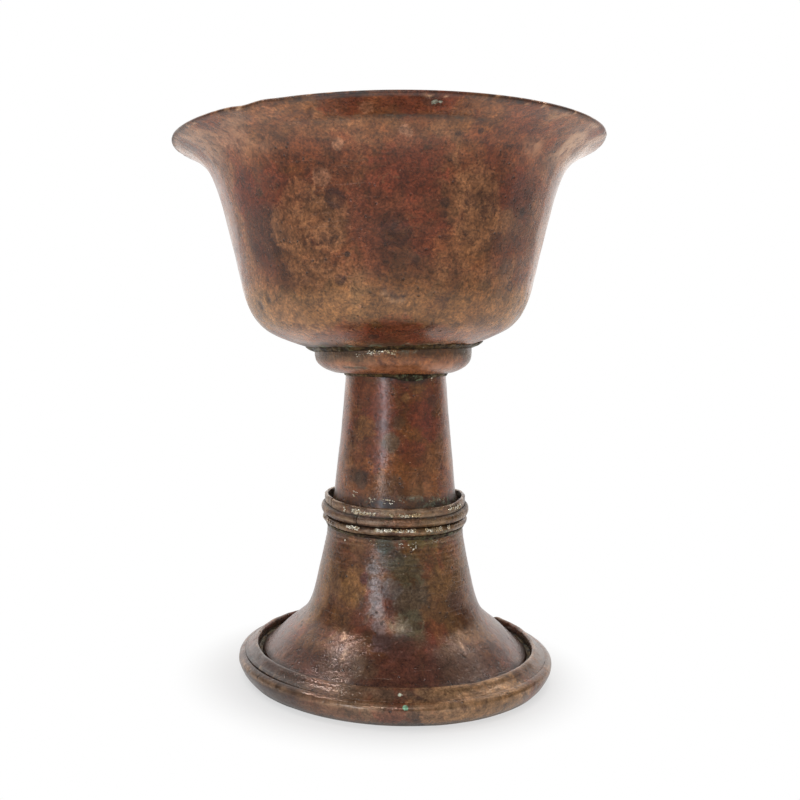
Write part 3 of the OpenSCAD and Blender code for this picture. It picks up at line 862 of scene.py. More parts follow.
sleeve_prof = np.vstack([[[20.36, 48.8], [21.4, 48.8]], arc([20.9, 54.8], 0.5, 0, 90, 6), arc([20.76, 54.9], 0.4, 90, 180, 6)])
sleeve_prof = resample(np.vstack([sleeve_prof, sleeve_prof[:1]]), 0.3)[:-1]
sleeve = turned("knop_upper_hoop", sleeve_prof, 420, OFF, sleeve_displace, th=(204.5, 563.3))


def band_displace(P, info):
    z = info["z"]
    out = smooth(21.45, 21.8, info["r"])
    d = out * (0.07 * noise(P, (7, 7, 7), 191) + 0.05 * noise(P, (2.0, 2.0, 1.4), 193) - 0.05)
    nick = np.maximum(0, noise(P, (1.5, 1.5, 2.4), 195) - 0.52)
    d -= out * 0.30 * nick
    wear_and_highlight, cav = ring_masks(P, info, 52.05, 48.75, 197, 0.95)
    move = np.zeros_like(P)
    move[:, 2] = knop_dip(info["theta"], z)
    return d, move, {"edge": wear_and_highlight, "cav": cav, "verd": 0.25 * cav * smooth(0.1, 0.5, noise(P, (3, 3, 3), 199))}


band_prof = np.vstack([[[21.41, 48.82]], arc([20.8, 50.4], 1.7, -58, 58, 14), [[21.41, 51.98]]])
band_prof = resample(np.vstack([band_prof, band_prof[:1]]), 0.26)[:-1]
band = turned("knop_half_round_band", band_prof, 420, OFF, band_displace, th=(236.5, 595.5))


def wire_displace(P, info):
    z, th = info["z"], np.degrees(info["theta"]) % 360
    out = smooth(20.7, 21.2, info["r"])
    d = out * (0.09 * noise(P, (6, 6, 6), 201) + 0.06 * noise(P, (1.8, 1.8, 1.3), 203) - 0.05)
    nick = np.maximum(0, noise(P, (1.4, 1.4, 2.2), 205) - 0.50)
    d -= out * 0.34 * nick
    move = np.zeros_like(P)
    move[:, 2] = knop_dip(info["theta"], z)
    wear_and_highlight, cav = ring_masks(P, info, 48.85, 46.0, 207, 0.5)
    # a painted highlight along the wire's lower edge, and painted shade on its upper part next to the band
    wear_and_highlight = np.maximum(wear_and_highlight, 0.8 * smooth(45.95, 46.2, z) * (1 - smooth(46.5, 46.9, z)) * smooth(-0.4, 0.2, noise(P, (3, 3, 0.8), 219)) * out)
    cav = np.maximum(cav, 0.7 * smooth(47.6, 48.3, z) * smooth(-0.1, 0.4, noise(P, (2.4, 2.4, 1.2), 220)))
    verd = smooth(0.0, 0.5, noise(P, (3, 3, 3), 209)) * (0.25 + 0.6 * np.exp(-((th - 292) / 30) ** 2)) * (1 - smooth(46.6, 47.6, z))
    return d, move, {"edge": wear_and_highlight, "cav": cav, "verd": verd}


wire_prof = np.vstack([[[20.58, 45.95]], arc([20.65, 47.35], 1.35, -75, 75, 14), [[20.58, 48.76]]])
wire_prof = resample(np.vstack([wire_prof, wire_prof[:1]]), 0.26)[:-1]
wire = turned("knop_lower_wire", wire_prof, 420, OFF, wire_displace, th=(217.5, 576.5))

ks_prof = np.array([[20.4, 45.15], [20.78, 45.1], [21.02, 45.5], [21.1, 45.95], [20.4, 45.95]])
ks_prof = resample(np.vstack([ks_prof, ks_prof[:1]]), 0.22)[:-1]


def knop_solder_displace(P, info):
    th = np.degrees(info["theta"])
    out = smooth(20.6, 20.9, info["r"])
    d = out * (0.07 * noise(P, (3, 3, 2), 211) + 0.06 * noise(P, (1.2, 1.2, 0.9), 213))
    move = np.zeros_like(P)
    run = 0.3 * np.exp(-((th - 296) / 22) ** 2) + 0.3 * np.maximum(0, noise(P, (5, 5, 50), 215))
    move[:, 2] = -run * (1 - smooth(45.1, 45.8, info["z"])) + knop_dip(info["theta"], info["z"])
    verd = np.clip(0.0 + 0.7 * np.exp(-((th - 290) / 30) ** 2) + 0.4 * noise(P, (3, 3, 3), 217), 0, 1)
    return d, move, {"edge": 0 * d, "cav": 0 * d, "verd": verd}


ksold = turned("solder_knop_bead", ks_prof, 420, OFF, knop_solder_displace)


# ---------------------------------------------------------------- grains of solder caught in the joints, coloured near-white as painted glints
def grains(name, places):
    """Small lumps, one for each (x, y, z, outward x, outward y, size, stretch, lean), as one mesh."""
    import bmesh
    bm = bmesh.new()
    bmesh.ops.create_icosphere(bm, subdivisions=2, radius=1.0)
    base = np.array([v.co[:] for v in bm.verts])
    tri = np.array([[v.index for v in f.verts] for f in bm.faces])
    bm.free()
    V, F = [], []
    for n, (x, y, z, ox, oy, size, stretch, lean) in enumerate(places):
        lump = 1 + 0.30 * noise(base * 1.7 + n * 3.1, 1.5, 301) + 0.16 * noise(base * 3.3 + n * 2.3, 1.5, 303)
        q = base * lump[:, None] * size
        tx, ty = -oy, ox
        a, u, w = q[:, 0] * stretch, q[:, 1] * 0.62, q[:, 2]
        a, w = a * math.cos(lean) - w * math.sin(lean), a * math.sin(lean) + w * math.cos(lean)
        V.append(np.stack([x + a * tx + u * ox, y + a * ty + u * oy, z + w], 1))
        F.append(tri + len(base) * n)
    V, F = np.vstack(V) * MM, np.vstack(F)
    me = bpy.data.meshes.new(name)
    me.from_pydata(V.tolist(), [], F.tolist())
    me.update()
    for p in me.polygons:
        p.use_smooth = True
    ob = bpy.data.objects.new(name, me)
    bpy.context.scene.collection.objects.link(ob)
    return ob


def grain_row(rnd, count, a0, a1, radius, level, size, clump, seed, axis=OFF, spread=0.5, keep=-0.1, stretch=(0.9, 1.6)):
    """Grains scattered along an arc, a0 to a1 degrees from the front; level(theta) is their height."""
    out = []
    tries = 0
    while len(out) < count and tries < count * 40:
        tries += 1
        a = rnd.uniform(a0, a1)
        t = math.radians(a - 90)
        c, s_ = math.cos(t), math.sin(t)
        if noise(np.array([[c * 20, s_ * 20, 0.0]]), clump, seed)[0] < keep:
            continue
        z = level(t) + rnd.uniform(-spread, spread)
        r = radius(z, t)
        sz = rnd.uniform(*size) * (1.0 if rnd.random() < 0.8 else 1.3)
        out.append((axis + r * c, r * s_, z, c, s_, sz, rnd.uniform(*stretch), rnd.uniform(-0.7, 0.7)))
    return out


def at(x, y, z, size, axis=OFF, stretch=1.2, lean=0.3):
    o = math.hypot(x - axis, y)
    return (x, y, z, (x - axis) / o, y / o, size, stretch, lean)


def stem_face(z, t):
    return (stem_r(z) if z > 55.3 else 18.45 + 0.7 * (55.3 - z) / 2.9) + 0.03


def wire_face(z, t):
    return 20.65 + math.sqrt(max(0.2, 1.35 ** 2 - (z - 47.35 - float(knop_dip(np.array([t]), np.array([47.35]))[0])) ** 2)) + 0.04


rnd = np.random.default_rng(31)
low_row = lambda t: 47.35 + 0.62 + float(knop_dip(np.array([t]), np.array([48.0]))[0])
up_row = lambda t: 52.0 + 0.75 + float(knop_dip(np.array([t]), np.array([52.0]))[0])
G = []
G += grain_row(rnd, 210, -44, 34, wire_face, low_row, (0.12, 0.30), 2.6, 311, spread=0.40, keep=-0.12)
G += grain_row(rnd, 90, 8, 42, wire_face, low_row, (0.13, 0.32), 2.6, 313, spread=0.38, keep=-0.2)
G += grain_row(rnd, 16, -62, -44, wire_face, low_row, (0.12, 0.22), 3.0, 315, spread=0.3)
G += grain_row(rnd, 90, -48, 16, lambda z, t: 21.47, up_row, (0.11, 0.27), 2.6, 317, spread=0.48, keep=-0.15)
G += grain_row(rnd, 60, -10, 16, lambda z, t: 21.47, up_row, (0.12, 0.30), 2.4, 319, spread=0.42, keep=-0.2)
G += grain_row(rnd, 40, -48, -30, lambda z, t: 21.47, lambda t: up_row(t) + 0.3, (0.13, 0.28), 3.0, 321, spread=0.7, keep=-0.3)
G += grain_row(rnd, 34, 38, 60, lambda z, t: 21.47, lambda t: up_row(t) + 0.4, (0.13, 0.28), 3.0, 323, spread=0.6, keep=-0.3)
G += grain_row(rnd, 30, 100, 300, wire_face, low_row, (0.12, 0.24), 6.0, 325, spread=0.3, keep=0.1)
knop_grains = grains("solder_grains_knop", G)

G = []
G += grain_row(rnd, 9, -48, -40, stem_face, lambda t: 56.7, (0.10, 0.24), 3.0, 331, spread=0.9, keep=-1)
G += grain_row(rnd, 8, -28, -22, stem_face, lambda t: 55.3, (0.12, 0.27), 3.0, 333, spread=0.7, keep=-1)
G += grain_row(rnd, 17, -16, -5, stem_face, lambda t: 55.2, (0.12, 0.26), 3.0, 335, spread=0.7, keep=-1)
G += grain_row(rnd, 4, -4, 4, stem_face, lambda t: 55.2, (0.09, 0.18), 3.0, 337, spread=0.5, keep=-1)
G += grain_row(rnd, 16, 28, 52, stem_face, lambda t: 55.3, (0.09, 0.19), 3.0, 339, spread=0.35, keep=-1)
G += grain_row(rnd, 5, 37, 41, lambda z, t: stem_r(z) - 0.02, lambda t: 90.4, (0.12, 0.24), 3.0, 341, spread=0.5, keep=-1)
G += grain_row(rnd, 4, -35, -20, lambda z, t: stem_r(z) - 0.02, lambda t: 90.8, (0.08, 0.14), 3.0, 343, spread=0.3, keep=-1)
stem_grains = grains("solder_grains_stem", G)


def neck_face(z, t):
    return float(np.interp(z, [39.0, 42.0, 46.0], [21.5, 20.9, 20.55])) - 0.02


G = [at(-12.4, -14.1, 43.2, 0.30, lean=1.2), at(6.9, -20.7, 42.0, 0.34, lean=0.8), at(6.2, -20.9, 42.5, 0.22), at(7.6, -20.6, 42.4, 0.2)]
G += grain_row(rnd, 14, -2, 14, neck_face, lambda t: 43.2, (0.09, 0.20), 3.0, 351, spread=0.8, keep=-1)
G += grain_row(rnd, 12, 24, 40, neck_face, lambda t: 43.9, (0.09, 0.19), 3.0, 353, spread=0.6, keep=-1)
G += grain_row(rnd, 6, -26, -14, neck_face, lambda t: 43.6, (0.09, 0.16), 3.0, 355, spread=0.6, keep=-1)
neck_grains = grains("solder_grains_neck", G)


def collar_face(z, t):
    return 23.72


G = grain_row(rnd, 34, -22, 0, collar_face, lambda t: 98.2, (0.13, 0.28), 3.0, 361, axis=COLLAR_OFF, spread=0.5, keep=-1)
G += grain_row(rnd, 10, -30, -18, collar_face, lambda t: 97.4, (0.08, 0.16), 3.0, 363, axis=COLLAR_OFF, spread=0.5, keep=-1)
G += grain_row(rnd, 12, 55, 80, collar_face, lambda t: 97.6, (0.08, 0.18), 3.0, 365, axis=COLLAR_OFF, spread=0.6, keep=-1)
collar_grains = grains("solder_grains_collar", G)


# ---------------------------------------------------------------- foot
bell_low = curve([[40.2, 7.3], [36.5, 10.7], [33, 14], [29.6, 16.7], [27, 19.3], [25.2, 23], [24.1, 27], [23.2, 31],
                  [22.3, 35], [21.5, 39], [20.9, 42]], 8)
bell_in = beside(bell_low, SHEET)
bell_in = bell_in[bell_in[:, 1] < 41]
bell_prof = np.vstack([bell_low, [[20.55, 46], [20.31, 52.4], [19.21, 52.4], [19.21, 42]], bell_in[::-1]])
bell_prof = resample(np.vstack([bell_prof, bell_prof[:1]]), 0.62, [(21.0, 42, 5.0, 0.34)])[:-1]
fh = hammer_seeds(bell_low, 6.6, OFF, rng)
fh_rad, fh_dep = rng.uniform(3.8, 5.6, len(fh)), rng.uniform(0.012, 0.045, len(fh))


def bell_displace(P, info):
    r, z, th = info["r"], info["z"], np.degrees(info["theta"])
    outside = info["n"][:, 0] * np.cos(info["theta"]) + info["n"][:, 1] * np.sin(info["theta"]) + info["n"][:, 2] > 0.2
    side = np.where(outside, 1.0, -1.0)
    zone = smooth(7.4, 10, z) * (1 - smooth(44.0, 46.0, z))
    d = side * zone * (0.16 * noise(P, (17, 17, 24), 221) + 0.06 * noise(P, (7, 7, 9), 223) - 0.03)
    hd = np.zeros(len(P)); s = outside & (zone > 0.01)
    hd[s] = dents(P[s], fh, fh_rad, fh_dep)
    d = d - hd * zone
    # turning ridges at the waist, strongest towards the neck
    ph = z + 0.25 * noise(P, (14, 14, 6), 225)
    ridges = np.sin(ph * 2 * math.pi / 1.45) * 0.045 + np.sin(ph * 2 * math.pi / 0.75 + 1.0) * 0.022
    amount = smooth(29, 37, z) * (1 - smooth(44.6, 45.4, z)) * (0.45 + 0.55 * smooth(-0.4, 0.4, noise(P, (13, 13, 5), 227)))
    d = d + np.where(outside, ridges * amount, 0)
    move = np.zeros_like(P)
    # painted shade low where the bell meets the seat ring and inside the bell, darker at the neck; painted shade in the
    # ridges' troughs and painted highlights on their crests
    cav = outside * (1 - smooth(7.6, 9.2, z + 0.5 * noise(P, (4, 4, 4), 229))) * 0.9
    cav = np.maximum(cav, outside * smooth(43.6, 45.2, z + 0.7 * noise(P, (4, 4, 3), 231)) * 0.8)
    cav = np.maximum(cav, np.where(outside, smooth(0.015, 0.065, -ridges * amount) * 0.35, 0.6))
    edge = outside * smooth(0.025, 0.07, ridges * amount) * 0.28
    edge = np.maximum(edge, outside * smooth(0.35, 0.75, noise(P, (8, 8, 10), 233)) * 0.10)
    # short painted highlight streaks on the flare
    flecks = smooth(-0.1, 0.45, noise(P, (0.9, 0.9, 1.3), 239))
    for x, y, zz, rad in ((-12.6, -22.6, 18.6, 1.1), (-12.8, -24.8, 16.8, 1.7), (-13.0, -26.8, 15.2, 1.5), (-13.4, -29.0, 13.6, 1.2), (20.4, -20.8, 19.4, 1.2),
                          (20.6, -22.8, 17.6, 1.5), (20.4, -25.4, 15.8, 1.2), (-1.8, -25.6, 20.4, 0.9)):
        q = np.linalg.norm((P - np.array([x, y, zz])) * np.array([1.6, 1, 1]), axis=1) / rad
        edge = np.maximum(edge, outside * np.exp(-q ** 2) * flecks * 1.0)
    verd = outside * smooth(41.0, 45.0, z + 1.5 * noise(P, (5, 5, 4), 235)) * smooth(-0.2, 0.5, noise(P, (2.4, 2.4, 2.4), 237)) \
        * (0.05 + 0.95 * np.exp(-((th - 286) / 24) ** 2))
    return d, move, {"edge": edge, "cav": cav, "verd": verd}


bell = turned("foot_trumpet_bell", bell_prof, 420, OFF, bell_displace)

WI, WO = 41.6, 43.0
seat_prof = np.vstack([[[WO, 0.0], [WO, 7.05], [45.7, 7.05]],
                       curve([[45.85, 7.06], [45.2, 7.38], [44.3, 8.2], [43.4, 9.15], [42.6, 9.72], [41.9, 9.68], [WI, 9.2]], 6),
                       [[WI, 6.1], [37.2, 6.1], [36.6, 5.6], [36.6, 5.0], [WI - 0.4, 5.0], [WI, 4.6], [WI, 0.0]]])
seat_prof = resample(np.vstack([seat_prof, seat_prof[:1]]), 0.34)[:-1]


def seat_displace(P, info):
    r, z, th = info["r"], info["z"], np.degrees(info["theta"])
    up = smooth(7.3, 8.9, z)
    c, s = np.cos(info["theta"]), np.sin(info["theta"])
    R3 = np.stack([c * 42, s * 42, 0 * c], 1)
    move = np.zeros_like(P)
    wob = (0.16 * noise(R3, 13, 241) + 0.07 * noise(R3, 5, 243)) * up
    move[:, 0] += wob * c
    move[:, 1] += wob * s
    move[:, 2] += up * (0.14 * noise(R3, 17, 245) + 0.07 * noise(R3, 4, 247) - 0.12)
    # torn and bent where its ends meet
    tear = np.exp(-((th - 34) / 1.6) ** 2) * up
    move[:, 2] -= 0.55 * tear
    bent = np.exp(-((th - 30.5) / 1.8) ** 2) * up
    move[:, 0] += 0.35 * bent * c
    move[:, 1] += 0.35 * bent * s
    d = up * (0.04 * noise(P, (1.8, 1.8, 1.2), 249) - 0.03)
    nick = np.maximum(0, noise(P, (2.2, 2.2, 2.2), 251) - 0.5)
    d -= up * 0.3 * nick
    # proud of the rim at the left, so a crack shows there; worn level with it elsewhere
    lip = smooth(44.5, 45.1, r) * (1 - smooth(7.6, 8.1, z))
    move[:, 2] += 0.30 * lip * np.exp(-((th - 205) / 28) ** 2)
    # a painted highlight along the ridge's crown and painted glints along the crack at the left; painted shade in the
    # crack and inside below the crown
    wear_and_highlight = smooth(9.55, 9.85, z) * smooth(-0.25, 0.35, noise(P, (4, 4, 4), 253)) * 0.35
    crack = lip * (0.0 + 0.9 * np.exp(-((th - 205) / 32) ** 2) + 0.4 * np.exp(-((th - 345) / 18) ** 2))
    wear_and_highlight = np.maximum(wear_and_highlight, 0.9 * lip * np.exp(-((th - 212) / 9) ** 2) * smooth(0.0, 0.4, noise(P, (1.6, 1.6, 1.6), 259)))
    cav = np.maximum((1 - smooth(7.3, 9.0, z)) * (r < 42.0) * 0.95, 0.8 * np.clip(crack, 0, 1))
    return d, move, {"edge": wear_and_highlight, "cav": cav, "verd": 0.15 * cav * smooth(0.2, 0.6, noise(P, (3, 3, 3), 255))}


seat = turned("foot_seat_ridge", seat_prof, 560, OFF, seat_displace)

rim_prof = np.vstack([[[WO + 0.02, 0.0], [44.0, 0.0]],
                      curve([[45.1, 0.5], [46.5, 2.1], [47.5, 4.1], [47.7, 5.3], [47.35, 6.3], [46.5, 7.0], [45.5, 7.14]], 8),
                      [[WO + 0.02, 7.14]]])
rim_prof = resample(np.vstack([rim_prof, rim_prof[:1]]), 0.36)[:-1]
rh = hammer_seeds(curve([[44.4, 0.3], [46.5, 2.1], [47.6, 4.6], [47.0, 6.7], [45.5, 7.14]], 6), 4.6, OFF, rng)
rh_rad, rh_dep = rng.uniform(2.4, 3.8, len(rh)), rng.uniform(0.015, 0.05, len(rh))


def rim_displace(P, info):
    r, z, th = info["r"], info["z"], np.degrees(info["theta"]) % 360
    out = smooth(45.2, 46.2, r) * smooth(0.0, 0.5, z) + (1 - smooth(0.0, 4.0, z)) * smooth(43.2, 44.2, r) * smooth(0.0, 0.5, z) * (1 - smooth(45.2, 46.2, r))
    d = out * (0.16 * noise(P, (15, 15, 15), 261) + 0.07 * noise(P, (6, 6, 5), 263) - 0.05)
    hd = np.zeros(len(P)); s = out > 0.05
    hd[s] = dents(P[s], rh, rh_rad, rh_dep)
    d = d - hd * out
    nick = np.maximum(0, noise(P, (2.4, 2.4, 1.8), 265) - 0.55)
    d -= out * 0.35 * nick
    # the ends are filed down where they meet
    end = np.exp(-((th - 34) / 2.2) ** 2)
    d -= 0.25 * out * end
    move = np.zeros_like(P)
    # wear and a painted highlight line on the upper rounding; painted shade in the groove beside the ridge at the left
    # and along the bottom; darker at the filed ends
    wear_and_highlight = smooth(46.0, 47.0, r) * smooth(4.6, 5.6, z) * (1 - smooth(6.4, 7.0, z)) * smooth(-0.3, 0.4, noise(P, (8, 8, 4), 267)) * 0.35
    cav = (1 - smooth(45.35, 46.0, r)) * smooth(6.6, 6.9, z) * (0.0 + 0.8 * np.exp(-((th - 205) / 32) ** 2))
    cav = np.maximum(cav, (1 - smooth(0.8, 2.2, z)) * 0.85)
    cav = np.maximum(cav, end * 0.7)
    return d, move, {"edge": wear_and_highlight, "cav": np.clip(cav, 0, 1), "verd": 0.12 * cav * smooth(0.2, 0.6, noise(P, (3, 3, 3), 269))}


rim = turned("foot_rim_moulding", rim_prof, 620, OFF, rim_displace, th=(34.25, 393.75))

fs_prof = np.array([[40.15, 6.12], [WI - 0.02, 6.12], [WI - 0.02, 7.3], [41.0, 6.9], [40.3, 7.0]])
fs_prof = resample(np.vstack([fs_prof, fs_prof[:1]]), 0.24)[:-1]


def foot_solder_displace(P, info):
    top = smooth(6.5, 6.9, info["z"])
    d = top * (0.22 * noise(P, (4, 4, 2), 271) + 0.12 * noise(P, (1.5, 1.5, 1.0), 273) - 0.05)
    return d, 0 * P, {"edge": 0 * d, "cav": 0 * d, "verd": smooth(0.1, 0.6, noise(P, (5, 5, 5), 275)) * 0.6}


fsold = turned("solder_foot_bead", fs_prof, 560, OFF, foot_solder_displace)


# ---------------------------------------------------------------- materials on the pieces
# stains and tints on the bowl: (x, y, z, inner radius, outer radius, colour, amount), millimetres
BOWL_MARKS = [
    # broad tints; the DARK ones on the two front flanks also paint dark reflection bands
    (0.0, -46.8, 133.0, 8.0, 20.0, RED, 0.55), (2.2, -50.3, 145.9, 4.0, 13.0, RED, 0.70), (0.2, -44.2, 121.5, 3.0, 10.0, SLATE, 0.75),
    (7.4, -45.2, 128.5, 3.0, 9.0, RED, 0.65), (14.9, -42.1, 123.8, 3.0, 9.0, ORANGE, 0.45), (23.4, -41.4, 136.1, 3.0, 10.0, SLATE, 0.55),
    (23.2, -40.2, 127.4, 3.0, 10.0, OLIVE, 0.60), (18.0, -44.5, 139.0, 2.5, 8.0, TAN, 0.55), (8.6, -50.4, 148.2, 2.0, 7.0, RED, 0.55),
    (30.0, -36.5, 141.0, 3.0, 8.0, RED, 0.70), (33.0, -32.0, 137.0, 2.0, 7.0, RED, 0.55), (29.8, -32.5, 121.2, 1.5, 5.0, SLATE, 0.70),
    (27.0, -35.0, 125.0, 2.0, 6.5, RED, 0.45), (-32.3, -36.8, 141.6, 3.0, 9.0, RED, 0.70), (-39.2, -28.8, 140.4, 2.0, 8.0, PLUM, 0.60),
    (-34.0, -32.2, 132.9, 3.0, 9.0, DARK, 0.40), (-30.5, -33.6, 128.0, 2.0, 8.0, DARK, 0.45), (-28.0, -35.5, 124.5, 2.0, 6.0, ORANGE, 0.60),
    (-29.5, -33.0, 118.0, 2.0, 7.0, DARK, 0.40), (-25.2, -40.8, 137.5, 3.0, 8.0, TAN, 0.45), (-22.0, -39.8, 127.3, 2.0, 6.0, DARK, 0.40),
    (-12.6, -46.0, 136.7, 2.0, 6.5, PLUM, 0.60), (-8.6, -45.4, 130.5, 3.0, 9.0, PLUM, 0.60), (-17.5, -42.3, 128.5, 2.0, 6.0, TAN, 0.45),
    (-6.0, -44.5, 122.5, 3.0, 8.0, PLUM, 0.55), (-15.8, -48.3, 146.5, 3.0, 9.0, PLUM, 0.35),
    (-20.0, -38.0, 110.0, 5.0, 12.0, OLIVE, 0.50), (0.0, -40.5, 109.5, 6.0, 13.0, OLIVE, 0.60), (16.0, -37.5, 109.5, 6.0, 13.0, OLIVE, 0.60),
    (26.0, -31.0, 111.0, 5.0, 11.0, OLIVE, 0.55), (-30.0, -28.0, 108.5, 4.0, 10.0, TAN, 0.50),
    (-37.2, -27.2, 141.5, 4.0, 10.0, RED, 0.85), (-34.8, -29.2, 129.0, 5.0, 12.0, DARK, 0.50),
    (-28.6, -36.2, 131.0, 3.0, 9.0, TAN, 0.55), (-19.5, -42.6, 133.0, 3.0, 10.0, TAN, 0.55), (-24.0, -37.0, 121.0, 3.0, 9.0, TAN, 0.55),
    (21.5, -42.2, 131.0, 3.0, 10.0, TAN, 0.65), (20.0, -43.6, 140.0, 3.0, 9.0, TAN, 0.55), (33.4, -34.0, 139.5, 3.0, 8.5, DARK, 0.45),
    (33.6, -31.6, 131.0, 3.0, 8.0, DARK, 0.35), (0.0, -47.2, 139.0, 6.0, 15.0, RED, 0.55),
    # the turned-out lip
    (-15.4, -60.6, 158.6, 3.0, 10.0, RED, 0.75), (-8.4, -61.4, 158.3, 3.0, 10.0, RED, 0.55), (3.4, -60.8, 157.8, 3.0, 9.0, RED, 0.80),
    (12.0, -59.5, 157.6, 3.0, 8.0, RED, 0.50), (-27.2, -56.0, 158.4, 2.0, 8.0, OLIVE, 0.55), (-32.0, -43.6, 153.0, 2.0, 7.0, SLATE, 0.75),
    (14.0, -54.2, 154.6, 1.5, 6.0, OLIVE, 0.80), (22.0, -52.5, 155.5, 1.5, 6.0, OLIVE, 0.60), (5.5, -54.5, 153.8, 2.0, 6.0, OLIVE, 0.45),
    (22.0, -56.0, 157.5, 1.5, 5.0, ORANGE, 0.60), (15.5, -58.8, 157.8, 1.5, 5.0, ORANGE, 0.55), (-5.0, -54.5, 154.2, 3.0, 7.0, OLIVE, 0.50),
    (-9.0, -58.6, 157.0, 0.8, 3.2, PINK, 0.55), (37.8, -47.0, 157.6, 0.6, 2.2, OLIVE, 0.85),
    # spots: the dark and grey ones are stains; the small PINK and CREAM ones are painted glints
    (13.8, -51.5, 152.1, 0.4, 1.6, DARK, 0.85), (19.6, -50.4, 153.0, 0.3, 1.3, DARK, 0.85), (11.7, -46.1, 136.1, 0.6, 2.4, DIRT_AND_SHADE, 0.65),
    (11.7, -46.8, 138.7, 0.6, 2.0, SLATE, 0.80), (11.5, -45.5, 133.4, 0.5, 1.8, DIRT_AND_SHADE, 0.50), (34.0, -33.1, 135.5, 0.5, 2.2, DIRT_AND_SHADE, 0.60),
    (-13.0, -42.7, 123.5, 0.3, 1.1, DIRT_AND_SHADE, 0.80), (-22.0, -37.4, 117.9, 0.6, 2.4, DARK, 0.50), (-23.6, -37.4, 119.4, 0.4, 1.8, DARK, 0.45),
    (-24.5, -37.8, 121.5, 0.5, 1.8, DARK, 0.40), (-20.8, -38.5, 120.8, 0.4, 1.6, DARK, 0.40), (-1.0, -45.9, 129.1, 1.5, 4.6, DARK, 0.55),
    (-15.8, -49.4, 149.8, 0.7, 2.4, PINK, 0.70), (-19.5, -45.3, 142.7, 1.2, 3.8, PINK, 0.55), (0.2, -53.8, 152.8, 0.6, 2.2, PINK, 0.90),
    (1.6, -53.4, 151.9, 0.5, 1.8, PINK, 0.80), (6.9, -60.3, 157.8, 0.25, 1.3, CREAM, 1.6), (8.2, -60.3, 157.9, 0.2, 1.0, CREAM, 1.6),
    (-9.6, -39.8, 110.2, 0.12, 0.6, PINK, 0.8), (2.3, -39.8, 108.5, 0.12, 0.55, PINK, 0.7), (6.0, -60.9, 158.0, 0.8, 3.0, DIRT_AND_SHADE, 0.5),
    # under the bowl
    (0.1, -32.9, 103.0, 4.0, 12.0, RED, 0.85), (-9.3, -33.0, 103.6, 3.0, 9.0, RED, 0.60), (9.9, -30.8, 102.2, 3.0, 9.0, RED, 0.60),
    (-3.0, -29.0, 101.2, 2.0, 8.0, DARK, 0.60), (-5.5, -31.5, 102.4, 0.6, 2.2, DIRT_AND_SHADE, 0.7),
    # round the sides and the back
    (0.0, 45.0, 130.0, 6.0, 16.0, RED, 0.60), (30.0, 34.0, 132.0, 5.0, 14.0, OLIVE, 0.60), (-14.0, 43.0, 122.0, 3.0, 9.0, SLATE, 0.60),
    (-34.0, 30.0, 124.0, 5.0, 14.0, RED, 0.60), (44.0, -4.0, 126.0, 4.0, 12.0, RED, 0.50), (47.0, 6.0, 140.0, 3.0, 9.0, PLUM, 0.55),
    (-44.0, -6.0, 134.0, 4.0, 12.0, OLIVE, 0.50), (-42.0, 14.0, 118.0, 3.0, 9.0, ORANGE, 0.45), (16.0, 46.0, 143.0, 3.0, 10.0, ORANGE, 0.35),
    # inside
    (2.0, 20.0, 101.0, 8.0, 22.0, DARK, 0.45), (-18.0, -8.0, 101.0, 5.0, 16.0, OLIVE, 0.55), (30.0, 20.0, 110.0, 5.0, 16.0, RED, 0.50),
    (-34.0, 18.0, 118.0, 5.0, 14.0, TAN, 0.45)]
BOWL_RINGS = [(-16.2, -45.0, 137.2, 2.0, 1.1, DARK, 0.62), (-14.8, -40.6, 117.1, 1.1, 0.6, DARK, 0.55),
              (-1.0, -45.9, 129.1, 3.4, 1.4, DARK, 0.50), (37.8, -47.0, 157.6, 2.0, 0.6, DARK, 0.60),
              (32.0, -28.8, 116.2, 1.1, 0.5, DARK, 0.75), (35.6, -24.7, 117.4, 1.3, 0.5, DARK, 0.60),
              (-24.0, 37.0, 121.0, 2.6, 1.0, DARK, 0.60), (20.0, 41.0, 128.0, 3.0, 1.2, DARK, 0.55)]
# the belt is a painted reflection of the floor on the bowl's low turn
m_bowl = copper("copper_bowl_patina", 0.0, 46.0, a=BROWN, b=TAN, red=0.50, olive=0.45, plum=0.35, rough=0.23, fine=1.25,
                marks=BOWL_MARKS, rings=BOWL_RINGS, seed=1.0, calmer=True, bump=0.75,
                belts=[(103.0, 107.0, 112.5, 118.5, lin(133, 98, 66), 0.80)])
